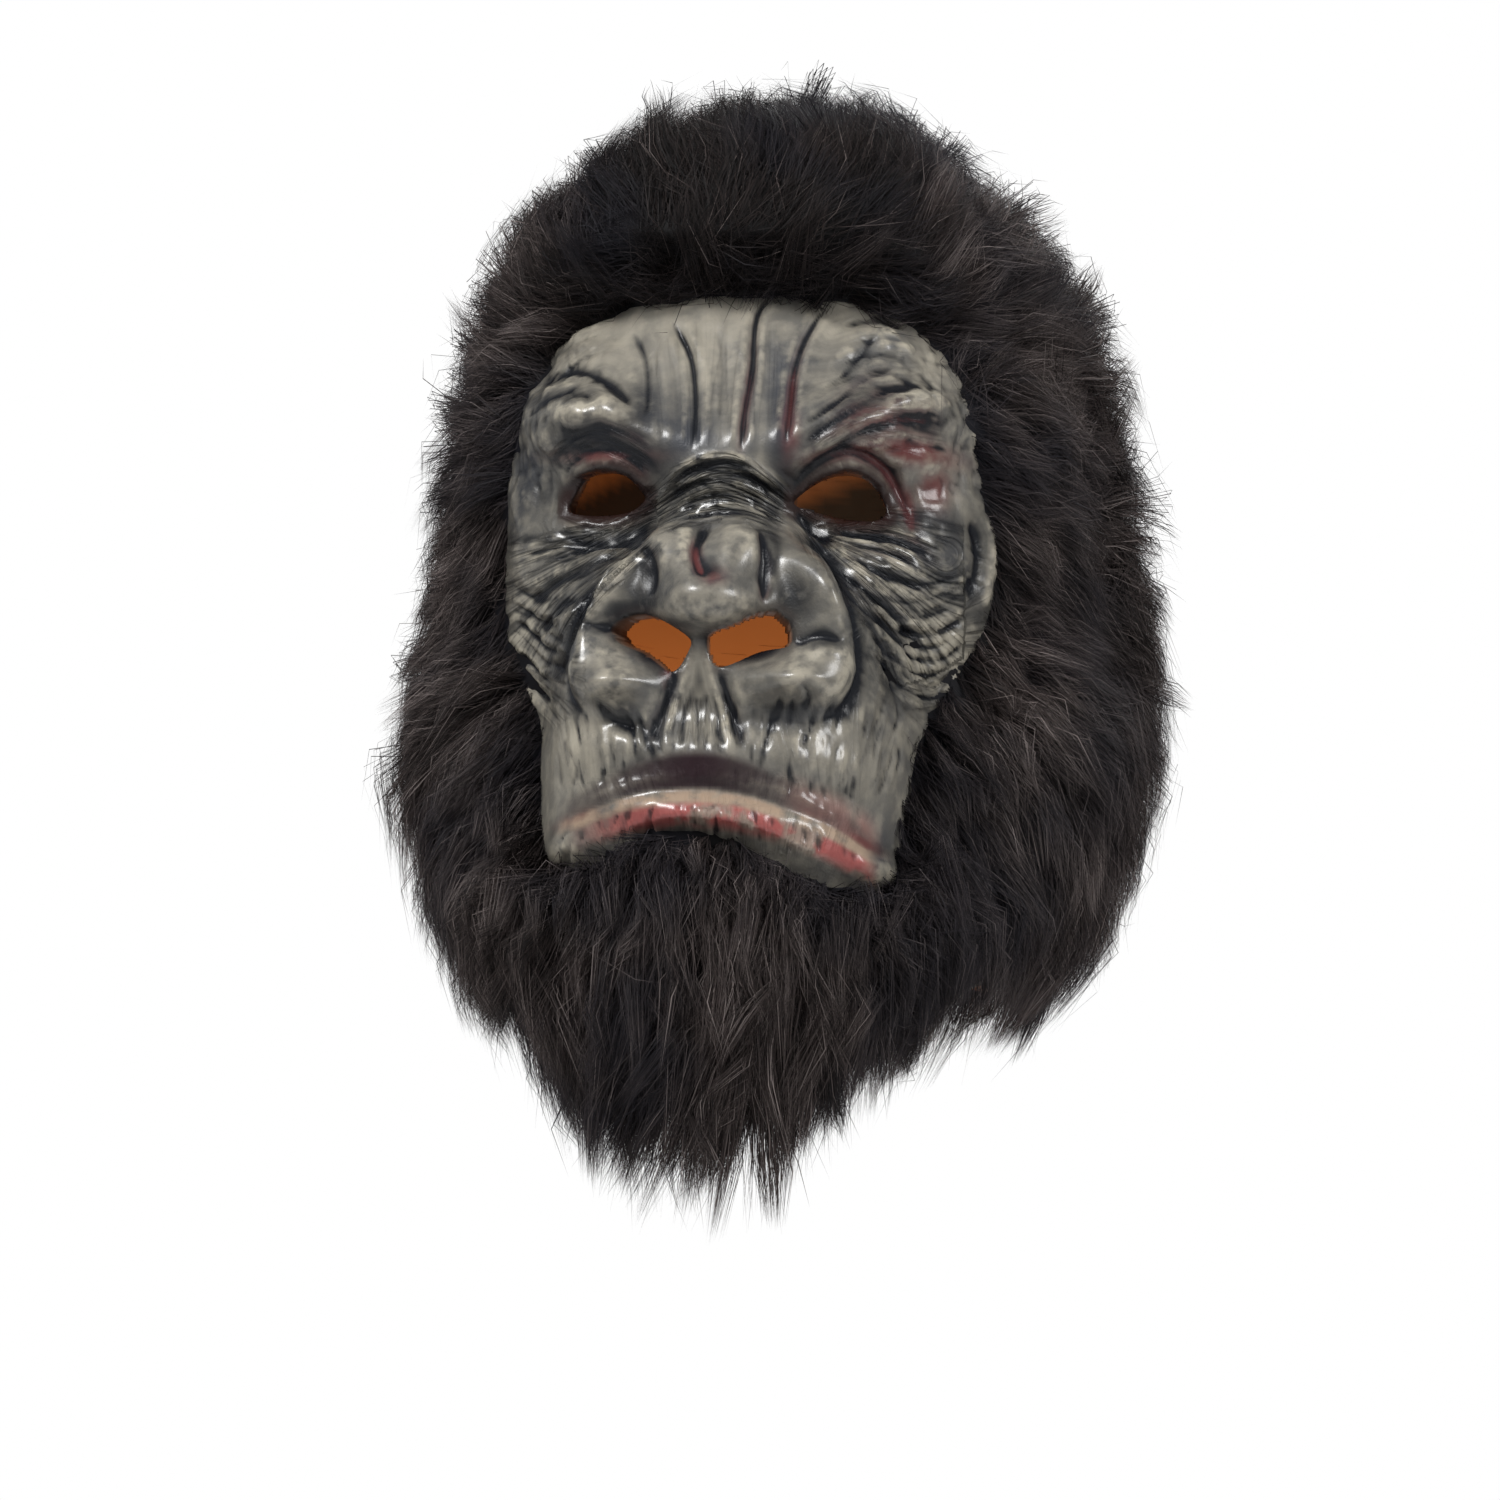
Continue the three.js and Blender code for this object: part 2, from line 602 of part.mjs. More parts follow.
function meshOf(name, solid, material) {
  const made = solid.getMesh();
  const geometry = new THREE.BufferGeometry();
  geometry.setAttribute("position", new THREE.BufferAttribute(new Float32Array(made.vertProperties), 3));
  geometry.setIndex(new THREE.BufferAttribute(new Uint32Array(made.triVerts), 1));
  geometry.computeVertexNormals();
  const mesh = new THREE.Mesh(geometry, material);
  mesh.name = name;
  return mesh;
}

const mask = new THREE.Group();
mask.add(meshOf("rubber_head", rubberHead(), rubber));
for (const [name, solid] of Object.entries(furPanels())) mask.add(meshOf(name, solid, fur));

export default mask;
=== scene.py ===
# A pull-over gorilla mask: a hollow moulded rubber head with a sculpted, painted face, and long
# faux fur round it. The forms follow the same tables as the part, in millimetres, and become
# metres when a mesh is made.
import math

import bpy
import numpy as np
from mathutils import Matrix, Vector
from mathutils.kdtree import KDTree


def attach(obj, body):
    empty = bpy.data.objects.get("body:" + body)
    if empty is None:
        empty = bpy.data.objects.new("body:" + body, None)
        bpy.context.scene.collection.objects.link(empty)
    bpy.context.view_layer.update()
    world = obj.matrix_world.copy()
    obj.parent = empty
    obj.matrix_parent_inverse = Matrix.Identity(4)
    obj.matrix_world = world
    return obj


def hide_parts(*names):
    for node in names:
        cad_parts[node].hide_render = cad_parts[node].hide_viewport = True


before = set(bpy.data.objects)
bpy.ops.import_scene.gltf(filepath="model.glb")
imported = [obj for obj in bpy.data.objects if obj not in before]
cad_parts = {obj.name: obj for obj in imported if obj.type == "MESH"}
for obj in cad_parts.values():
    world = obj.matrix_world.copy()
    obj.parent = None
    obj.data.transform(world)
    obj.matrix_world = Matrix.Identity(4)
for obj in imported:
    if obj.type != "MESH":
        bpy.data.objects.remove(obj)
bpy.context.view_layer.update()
print("frame loaded")

head = {
    "wall": 3,
    "crownToNape": 238,
    "crownToSide": 252,
    "crownToBib": 298,
    "halfWidth": 83,
    "front": 103,
    "back": 106,
    "muzzleReach": 134,
    "muzzleHalfWidth": 62,
    "blend": 14,
}
face = {
    "top": 51,
    "height": 188,
    "halfWidth": 79,
    "brow": 11,
    "nose": 11,
    "lip": 6,
    "mouthDroop": 5,
}
coat = {
    "crownPile": 39,
    "halfWidth": 124,
    "front": 144,
    "back": 140,
    "skirt": 22,
    "beardDrop": 325,
}

# Shares of the reach in front, at the side and behind, by the drop as a share of crownToNape
headLevels = {
    "drop": [0, 0.04, 0.13, 0.25, 0.4, 0.55, 0.71, 0.88, 1.05, 1.3],
    "front": [0, 0.41, 0.68, 0.88, 1, 0.97, 0.9, 0.88, 0.88, 0.84],
    "side": [0, 0.44, 0.73, 0.92, 1, 1, 0.97, 0.9, 0.84, 0.8],
    "back": [0, 0.45, 0.74, 0.92, 1, 0.98, 0.89, 0.8, 0.77, 0.76],
}
muzzleLevels = {
    "drop": [0.42, 0.5, 0.57, 0.66, 0.76, 0.86, 0.93, 1.02, 1.14, 1.3],
    "front": [0.5, 0.7, 0.86, 0.94, 0.95, 0.98, 0.96, 0.91, 0.82, 0.72],
    "side": [0.7, 0.8, 0.9, 0.96, 1, 1.02, 1, 0.96, 0.88, 0.84],
}

# The coat's reach, by the drop from the top of the pile as a share of the whole height
furLevels = {
    "drop": [0, 0.028, 0.075, 0.167, 0.258, 0.353, 0.45, 0.54, 0.63, 0.72, 0.82, 0.9, 1],
    "front": [0, 0.28, 0.52, 0.74, 0.83, 0.85, 0.83, 0.84, 0.92, 1, 1, 0.96, 0.84],
    "side": [0, 0.3, 0.58, 0.8, 0.9, 0.96, 1, 1.02, 1, 0.91, 0.77, 0.6, 0.42],
    "back": [0, 0.38, 0.62, 0.86, 0.96, 1, 1, 0.97, 0.93, 0.89, 0.85, 0.82, 0.8],
}


# Rows of a table as dictionaries, by the names of its columns
def table(columns, *rows):
    return [dict(zip(columns.split(), row)) for row in rows]


# Broad forms of the face, in shares of its half width and height, and of the size named in "of"
mounds = table(
    "of across down wide tall rise slope pair",
    ("brow", 0.45, 0.23, 0.36, 0.065, 1.1, -0.16, 1),
    ("brow", 0, 0.25, 0.18, 0.08, 0.5, 0, 0),
    ("brow", 0.46, 0.35, 0.22, 0.06, -0.75, -0.1, 1),
    ("brow", 0.62, 0.48, 0.24, 0.11, 0.45, -0.3, 1),
    ("nose", 0, 0.52, 0.3, 0.12, 0.75, 0, 0),
)
mouldings = table(
    "of across down wide tall rise slope pair",
    ("nose", 0.14, 0.46, 0.13, 0.05, 0.6, 0, 1),
    ("nose", 0, 0.55, 0.16, 0.05, 0.65, 0, 0),
    ("nose", 0.43, 0.6, 0.12, 0.09, 1.1, 0, 1),
    ("nose", 0.3, 0.69, 0.2, 0.045, 0.8, 0.1, 1),
    ("nose", 0.34, 0.515, 0.13, 0.04, 0.65, 0.4, 1),
    ("lip", 0, 0.79, 0.5, 0.035, 0.7, 0, 0),
    ("lip", 0, 0.885, 0.45, 0.03, 1, 0, 0),
    ("lip", 0.48, 0.925, 0.18, 0.035, 0.7, 0, 1),
)

# Edge of the bare face from its top centre down one side to the chin, in the same shares
faceEdge = {
    "across": [
        0, 0.3, 0.52, 0.69, 0.81, 0.88, 0.93, 0.96, 0.94, 0.84,
        0.73, 0.69, 0.66, 0.61, 0.5, 0.36, 0.15, 0,
    ],
    "down": [
        0, 0.003, 0.016, 0.05, 0.1, 0.19, 0.3, 0.42, 0.51, 0.6,
        0.71, 0.83, 0.91, 0.955, 0.965, 0.955, 0.918, 0.91,
    ],
}


def smoothStep(value, low, high):
    t = np.clip((value - low) / (high - low), 0, 1)
    return t * t * (3 - 2 * t)


# Rises from 0 to 1 between the first two values and falls again between the last two
def band(value, riseFrom, riseTo, fallFrom, fallTo):
    return smoothStep(value, riseFrom, riseTo) * (1 - smoothStep(value, fallFrom, fallTo))


def levelReach(levels, column, share):
    drops = np.array(levels["drop"], float)
    squares = np.array(levels[column], float) ** 2
    slopes = np.gradient(squares)
    slopes[1:-1] = (squares[2:] - squares[:-2]) / (drops[2:] - drops[:-2])
    slopes[0] = (squares[1] - squares[0]) / (drops[1] - drops[0])
    slopes[-1] = (squares[-1] - squares[-2]) / (drops[-1] - drops[-2])
    at = np.clip(share, drops[0], drops[-1])
    i = np.clip(np.searchsorted(drops, at) - 1, 0, len(drops) - 2)
    span = drops[i + 1] - drops[i]
    t = (at - drops[i]) / span
    value = squares[i] * (1 + 2 * t) * (1 - t) ** 2 + slopes[i] * span * t * (1 - t) ** 2
    value += squares[i + 1] * t * t * (3 - 2 * t) + slopes[i + 1] * span * t * t * (t - 1)
    return np.sqrt(np.maximum(value, 0))


def boxReach(angle, front, side, power):
    ahead = np.abs(np.cos(angle)) / np.maximum(front, 1e-6)
    aside = np.abs(np.sin(angle)) / np.maximum(side, 1e-6)
    return (ahead**power + aside**power) ** (-1 / power)


def headReach(angle, drop):
    share = drop / head["crownToNape"]
    ahead = np.cos(angle) > 0
    front = head["front"] * levelReach(headLevels, "front", share)
    back = head["back"] * levelReach(headLevels, "back", share)
    side = head["halfWidth"] * levelReach(headLevels, "side", share)
    power = np.where(ahead, 2.2 + 0.4 * smoothStep(share, 0.1, 0.35), 2.2)
    skull = boxReach(angle, np.where(ahead, front, back), side, power)
    muzzleFront = head["muzzleReach"] * levelReach(muzzleLevels, "front", share)
    muzzleSide = head["muzzleHalfWidth"] * levelReach(muzzleLevels, "side", share)
    muzzle = boxReach(angle, muzzleFront, muzzleSide, 2.8)
    near = np.maximum(head["blend"] - np.abs(skull - muzzle), 0) / head["blend"]
    joined = np.maximum(skull, muzzle) + near * near * head["blend"] / 4
    return np.where(ahead & (share >= muzzleLevels["drop"][0]), joined, skull)


def moundHeight(row, x, down):
    total = 0
    for side in ([1, -1] if row["pair"] else [1]):
        across = x / face["halfWidth"] - side * row["across"]
        below = down - row["down"] - row["slope"] * across * side
        total = total + np.exp(-((across / row["wide"]) ** 2) - (below / row["tall"]) ** 2)
    return face[row["of"]] * row["rise"] * total


def droopAt(x, drop):
    share = smoothStep((drop - face["top"]) / face["height"], 0.65, 0.85)
    return face["mouthDroop"] * x / head["muzzleHalfWidth"] * share


def faceRise(angle, drop, x, rows):
    ahead = smoothStep(np.cos(angle), 0.45, 0.8)
    down = (drop - droopAt(x, drop) - face["top"]) / face["height"]
    return ahead * sum(moundHeight(row, x, down) for row in rows)


def rubberReach(angle, drop, rows):
    reach = headReach(angle, drop)
    return reach + faceRise(angle, drop, reach * np.sin(angle), rows)


def rubberEdge(angle):
    c = np.cos(angle)
    bib = (head["crownToBib"] - head["crownToSide"]) * c**3
    nape = (head["crownToNape"] - head["crownToSide"]) * c**2
    return head["crownToSide"] + np.where(c > 0, bib, nape)


def pointAt(angle, reach, z):
    return np.stack([reach * np.sin(angle), -reach * np.cos(angle), z + 0 * angle], axis=-1)


def normalise(v):
    return v / np.maximum(np.linalg.norm(v, axis=-1, keepdims=True), 1e-9)


# Point of the rubber, moved out by offset along the slope of the broad form
def rubberPoint(angle, drop, offset, rows):
    def at(a, d):
        return pointAt(a, rubberReach(a, d, mounds), -d)

    turn = 0.02
    step = 2
    around = at(angle + turn, drop) - at(angle - turn, drop)
    fall = at(angle, drop + step) - at(angle, np.maximum(drop - step, 0.5))
    out = normalise(np.cross(fall, around))
    reach = rubberReach(angle, drop, rows)
    return pointAt(angle, reach, -drop) + out * np.asarray(offset)[..., None], out


# Camera of the photograph: 9.5 degrees to the wearer's left, 10 degrees below level
camera = {
    "azimuth": 9.5,
    "elevation": -10,
    "roll": 1.5,
    "distance": 1300,
    "target": (9, -100, -193),
    "focal": 4333,
    "frame": 1500,
    "sensor": 36,
}


def cameraAxes():
    azimuth, elevation, roll = (math.radians(camera[key]) for key in ("azimuth", "elevation", "roll"))
    level = math.cos(elevation)
    back = np.array([math.sin(azimuth) * level, -math.cos(azimuth) * level, math.sin(elevation)])
    right = normalise(np.cross([0, 0, 1], back))
    up = np.cross(back, right)
    turnedRight = right * math.cos(roll) + up * math.sin(roll)
    turnedUp = up * math.cos(roll) - right * math.sin(roll)
    return turnedRight, turnedUp, back


def photoPoint(points):
    right, up, back = cameraAxes()
    eye = np.array(camera["target"]) + camera["distance"] * back
    away = points - eye
    depth = -(away @ back)
    middle = camera["frame"] / 2
    x = middle + camera["focal"] * (away @ right) / depth
    y = middle - camera["focal"] * (away @ up) / depth
    return np.stack([x, y], axis=-1)


def addCamera():
    right, up, back = cameraAxes()
    data = bpy.data.cameras.new("camera")
    data.sensor_width = camera["sensor"]
    data.lens = camera["sensor"] * camera["focal"] / camera["frame"]
    data.clip_start = 0.05
    item = bpy.data.objects.new("camera", data)
    bpy.context.scene.collection.objects.link(item)
    turn = Matrix((right, up, back)).transposed().to_4x4()
    eye = (np.array(camera["target"]) + camera["distance"] * back) / 1000
    item.matrix_world = Matrix.Translation(Vector(eye)) @ turn
    bpy.context.scene.camera = item


addCamera()


# Mesh from points in millimetres and groups of faces, each an array of corners, with named values
# that the materials read at each point
def makeObject(name, points, groups, material, values=None):
    mesh = bpy.data.meshes.new(name)
    groups = [np.asarray(group, np.int32) for group in groups if len(group)]
    sizes = np.concatenate([np.full(len(group), group.shape[1], np.int32) for group in groups])
    mesh.vertices.add(len(points))
    mesh.vertices.foreach_set("co", (np.asarray(points) / 1000).astype(np.float32).ravel())
    mesh.loops.add(int(sizes.sum()))
    mesh.loops.foreach_set("vertex_index", np.concatenate([group.ravel() for group in groups]))
    mesh.polygons.add(len(sizes))
    starts = np.concatenate([[0], np.cumsum(sizes)[:-1]])
    mesh.polygons.foreach_set("loop_start", starts.astype(np.int32))
    mesh.update(calc_edges=True)
    mesh.validate()
    mesh.shade_smooth()
    for key, value in (values or {}).items():
        layer = mesh.attributes.new(key, "FLOAT", "POINT")
        layer.data.foreach_set("value", np.asarray(value, np.float32).ravel())
    mesh.materials.append(material)
    item = bpy.data.objects.new(name, mesh)
    bpy.context.scene.collection.objects.link(item)
    return item


def standsFor(item, node):
    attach(item, "root")
    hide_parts(node)
    item.data.calc_loop_triangles()
    print(item.name, "triangles", len(item.data.loop_triangles))


# Columns and rows of the sculpted skin, about 0.8 mm apart over the face, and its deepest crease
skin = {
    "columns": [(-180, -62, 7), (-62, -42, 0.6), (-42, 42, 0.37), (42, 62, 0.6), (62, 180, 7)],
    "deepest": 4.5,
    "rows": [(44, 96, 0.95), (96, 196, 0.74), (196, 240, 0.9), (240, 298, 6)],
}
inner = {
    "columns": [(-180, -62, 4), (-62, 62, 1.6), (62, 180, 6)],
    "rows": [(44, 240, 2.4), (240, 298, 8)],
}
crownRows = [0, 2, 5, 9, 14, 20, 27, 35]
linerDepth = 2


# Values from the first stretch's start to the last one's end, each stretch with its own step
def stretches(rows):
    parts = [np.linspace(low, high, round((high - low) / step) + 1)[:-1] for low, high, step in rows]
    return np.concatenate([*parts, [rows[-1][1]]])


def headGrid(fineness):
    angles = np.radians(stretches(fineness["columns"]))
    rows = np.concatenate([crownRows, stretches(fineness["rows"])])
    jaw = 0.8 * head["crownToNape"]
    share = np.maximum(rows - jaw, 0) / (head["crownToBib"] - jaw)
    a, s = np.meshgrid(angles, share)
    d = np.repeat(rows[:, None], len(angles), 1)
    return a, np.where(d <= jaw, d, jaw + s * (rubberEdge(a) - jaw))


def gridFaces(rows, columns):
    corner = np.arange((rows - 1) * columns).reshape(rows - 1, columns)[:, :-1].ravel()
    return np.stack([corner, corner + 1, corner + columns + 1, corner + columns], axis=-1)


# Smooth line through a few points, given flat or in pairs, with every points on each stretch
def smoothLine(points, closed, every):
    p = np.asarray(points, float).reshape(-1, 2)
    count = len(p)
    t = (np.arange(every) / every)[:, None]
    parts = []
    for i in range(count if closed else count - 1):
        ids = [i - 1, i, i + 1, i + 2]
        a, b, c, d = (p[k % count] if closed else p[min(max(k, 0), count - 1)] for k in ids)
        bent = 2 * b + (c - a) * t + (2 * a - 5 * b + 4 * c - d) * t**2
        parts.append((bent + (3 * b - a - 3 * c + d) * t**3) / 2)
    if not closed:
        parts.append(p[-1:])
    return np.concatenate(parts)


# Distance from each point to a closed outline, negative inside
def outlineDistance(points, outline):
    nearest = np.full(points.shape[:-1], 1e9)
    inside = np.zeros(points.shape[:-1], bool)
    for a, b in zip(outline, np.roll(outline, -1, axis=0)):
        along = b - a
        t = np.clip(((points - a) @ along) / max(along @ along, 1e-9), 0, 1)
        gap = points - a - t[..., None] * along
        nearest = np.minimum(nearest, np.hypot(gap[..., 0], gap[..., 1]))
        crosses = (a[1] > points[..., 1]) != (b[1] > points[..., 1])
        if a[1] != b[1]:
            meets = a[0] + (points[..., 1] - a[1]) / (b[1] - a[1]) * along[0]
            inside ^= crosses & (points[..., 0] < meets)
    return np.where(inside, -nearest, nearest)


def faceOutline():
    x = face["halfWidth"] * np.array(faceEdge["across"])
    drop = face["top"] + face["height"] * np.array(faceEdge["down"])
    line = np.stack([x, drop], axis=-1)
    line = np.concatenate([line, (line * [-1, 1])[1:-1][::-1]])
    line[:, 1] += droopAt(line[:, 0], line[:, 1])
    return smoothLine(line, True, 2)


bareFace = faceOutline()

# Creases of the face in pixels of the photograph: the line's points, and its width and depth in
# millimetres and how red its bottom is painted. A ridge has a negative depth.
creases = table(
    "name wide deep red line",
    ("left furrow", 1.3, 1.7, 0, [670, 318, 690, 355, 695, 405, 692, 452]),
    ("inner left furrow", 1.8, 1, 0, [630, 328, 645, 358, 648, 400, 641, 425]),
    ("middle furrow", 1.1, 1.6, 0.65, [778, 288, 757, 315, 752, 365, 745, 410, 739, 458]),
    ("right furrow", 1.1, 1.5, 0.8, [828, 303, 807, 335, 795, 368, 790, 405, 784, 452]),
    ("faint furrow", 2.6, 0.5, 0, [716, 322, 722, 370, 718, 425]),
    ("temple edge", 1.8, 1, 0, [625, 308, 575, 330, 535, 372]),
    ("temple edge low", 1.6, 0.7, 0, [600, 330, 560, 350, 528, 392]),
    ("right diagonal", 1.7, 1.1, 0, [838, 378, 860, 355, 878, 332]),
    ("right diagonal low", 1.8, 0.9, 0, [812, 398, 845, 372, 885, 352, 915, 352]),
    ("left brow groove", 2.2, 1.5, 0, [533, 388, 570, 370, 605, 380, 632, 412]),
    ("left brow hollow", 4, 2, 0.1, [538, 448, 585, 436, 630, 448, 662, 478]),
    ("right brow fold", 2, 1.5, 0.1, [798, 428, 830, 405, 860, 380, 898, 368]),
    ("right brow fold low", 1.8, 1.3, 0.2, [803, 448, 840, 415, 880, 392, 924, 384]),
    ("right red fold", 1.6, 1.3, 0.7, [828, 452, 870, 430, 905, 420, 948, 426]),
    ("right red fold low", 1.6, 1, 0.6, [880, 458, 912, 447, 950, 452]),
    ("left lid crease", 1.6, 1.5, 0.5, [562, 475, 588, 454, 622, 458, 650, 482]),
    ("left lid ridge", 1.7, -1.3, 0, [560, 492, 580, 471, 610, 463, 638, 476, 655, 497]),
    ("left lower lid", 1.6, -1.1, 0, [566, 520, 600, 527, 634, 521, 655, 506]),
    ("left under lid", 1.8, 1.6, 0, [548, 530, 600, 538, 645, 527, 668, 505]),
    ("right lid crease", 1.8, 2, 0.9, [786, 498, 818, 465, 850, 453, 882, 468, 903, 500, 914, 533]),
    ("right lid ridge", 1.7, -1.4, 0.2, [788, 508, 812, 478, 845, 465, 876, 476, 896, 505]),
    ("right lower lid", 1.6, -1.1, 0, [796, 516, 825, 527, 860, 531, 888, 524]),
    ("bridge arc", 1.5, 1.3, 0, [655, 502, 700, 471, 740, 470, 782, 498]),
    ("bridge arc two", 1.4, 1.2, 0, [652, 514, 698, 484, 742, 483, 790, 512]),
    ("bridge arc three", 1.3, 1.1, 0, [655, 524, 700, 498, 744, 497, 790, 524]),
    ("bridge arc four", 1.2, 0.9, 0, [668, 528, 704, 511, 744, 510, 780, 528]),
    ("left valley", 1.9, 2.2, 0, [512, 568, 545, 556, 605, 535, 662, 508]),
    ("left valley low", 1.9, 2.2, 0, [522, 622, 537, 594, 572, 570, 620, 545, 662, 516]),
    ("right valley", 2, 2.4, 0, [782, 505, 812, 532, 842, 575, 880, 620, 925, 652]),
    ("left nose fold", 2.4, 3.4, 0, [655, 530, 607, 565, 578, 603, 566, 645, 568, 690, 592, 722]),
    ("right nose fold", 2.4, 3.4, 0, [790, 528, 832, 560, 856, 612, 860, 665, 845, 706, 815, 722]),
    ("under eye left", 1.6, 1.1, 0, [508, 582, 535, 600, 578, 598]),
    ("under eye left two", 1.5, 0.9, 0, [512, 545, 548, 540, 600, 548]),
    ("under eye right", 1.7, 1.3, 0.2, [820, 532, 870, 532, 912, 543, 936, 566]),
    ("under eye right two", 1.7, 1.4, 0, [838, 552, 880, 570, 920, 584, 956, 578, 976, 558]),
    ("under eye right three", 1.7, 1.4, 0, [858, 590, 905, 610, 946, 605, 982, 578]),
    ("under eye right four", 1.6, 1.1, 0, [872, 612, 915, 630, 950, 628, 978, 605]),
    ("under eye right five", 1.2, 0.8, 0.2, [845, 540, 885, 552, 918, 560]),
    ("left cheek", 2, 1.4, 0, [506, 618, 535, 640, 566, 684]),
    ("left cheek two", 1.8, 1.1, 0, [505, 645, 530, 668, 556, 706]),
    ("left cheek three", 1.5, 0.9, 0, [520, 610, 545, 628, 565, 652]),
    ("right cheek", 2.4, 2, 0, [862, 602, 884, 645, 900, 706]),
    ("right cheek two", 2.2, 1.6, 0, [880, 605, 915, 642, 932, 684]),
    ("right cheek three", 1.6, 1, 0, [905, 628, 935, 650, 950, 668]),
    ("nose tip groove", 1.3, 1.9, 1, [706, 532, 697, 560, 706, 584]),
    ("nose right groove", 1, 1.5, 0.5, [759, 530, 763, 565, 761, 608]),
    ("nose left groove", 1.2, 1.5, 0.2, [652, 600, 657, 566, 640, 546]),
    ("left wing top", 1.7, 1.8, 0, [578, 622, 598, 626, 614, 630]),
    ("right wing top", 1.8, 2, 0, [790, 648, 818, 637, 842, 642]),
    ("left wing crease", 1.6, 1.2, 0, [604, 702, 618, 722, 640, 728]),
    ("right wing crease", 1.5, 1.2, 0, [795, 684, 806, 700, 800, 712]),
    ("left of the septum", 1.3, 1.2, 0.1, [676, 668, 668, 700, 648, 742]),
    ("right of the septum", 1.3, 1.1, 0.1, [716, 668, 732, 706, 744, 748]),
    ("septum ridge left", 1.6, -0.9, 0, [694, 640, 682, 690, 664, 748]),
    ("septum ridge right", 1.6, -0.9, 0, [700, 640, 716, 690, 730, 750]),
    ("upper lip ridge", 3.6, -1.6, 0, [566, 806, 630, 784, 690, 776, 745, 781, 800, 798, 858, 828]),
    ("mouth", 1.2, 0.6, 0,
     [553, 824, 580, 815, 630, 797, 690, 790, 740, 795, 790, 810, 830, 826, 874, 852]),
    ("lower lip ridge", 3.4, -1.8, 0, [572, 846, 640, 824, 690, 814, 745, 822, 800, 844, 852, 870]),
    ("ear rim", 1.6, -1.6, 0, [978, 512, 989, 535, 990, 565, 982, 612]),
    ("ear hollow", 1.6, 1.5, 0, [969, 516, 978, 540, 978, 570, 970, 605]),
)

# Bundles of wrinkles that run side by side, from the first line to the last
bundles = table(
    "name count lines fine wide deep red first last",
    ("bridge", 7, 9, 1, 0.9, 1.7, 0,
     [642, 508, 698, 466, 742, 465, 792, 502], [652, 532, 700, 514, 745, 514, 788, 532]),
    ("left of the nose", 11, 11, 0.9, 1, 1.7, 0,
     [668, 502, 600, 534, 548, 551, 506, 566], [656, 538, 606, 582, 572, 622, 548, 690]),
    ("right of the nose", 12, 13, 0.95, 1, 1.7, 0.05,
     [792, 508, 832, 530, 882, 532, 944, 556], [800, 524, 850, 578, 902, 640, 926, 694]),
    ("right cheek", 8, 8, 0.7, 1, 1.4, 0,
     [852, 585, 905, 605, 950, 598, 986, 572], [872, 645, 905, 690, 932, 702, 955, 682]),
    ("left cheek", 8, 8, 0.55, 1, 1.3, 0,
     [503, 590, 530, 612, 566, 632], [510, 668, 535, 694, 562, 728]),
    ("left temple", 4, 7, 0.2, 1.3, 0.8, 0,
     [622, 306, 575, 328, 528, 376], [604, 376, 560, 396, 518, 424]),
    ("right temple", 6, 9, 0.22, 1.3, 0.8, 0,
     [832, 330, 872, 320, 908, 332], [808, 436, 860, 402, 932, 396]),
    ("right brow", 4, 6, 0.35, 1.3, 0.9, 0.45,
     [802, 446, 862, 406, 942, 402], [832, 454, 882, 440, 952, 452]),
    ("left lower lid", 4, 5, 0.7, 1.1, 0.9, 0,
     [560, 526, 602, 533, 652, 520], [528, 562, 590, 556, 642, 538]),
    ("forehead", 9, 14, 0.12, 1.2, 0.35, 0,
     [650, 330, 660, 395, 664, 450], [772, 318, 769, 390, 771, 450]),
    ("left lid", 4, 5, 0.35, 1.4, 0.6, 0.2,
     [560, 470, 600, 446, 655, 476], [545, 450, 600, 424, 655, 452]),
    ("septum", 7, 9, 0.6, 0.9, 0.6, 0, [672, 690, 660, 745], [722, 690, 734, 748]),
)

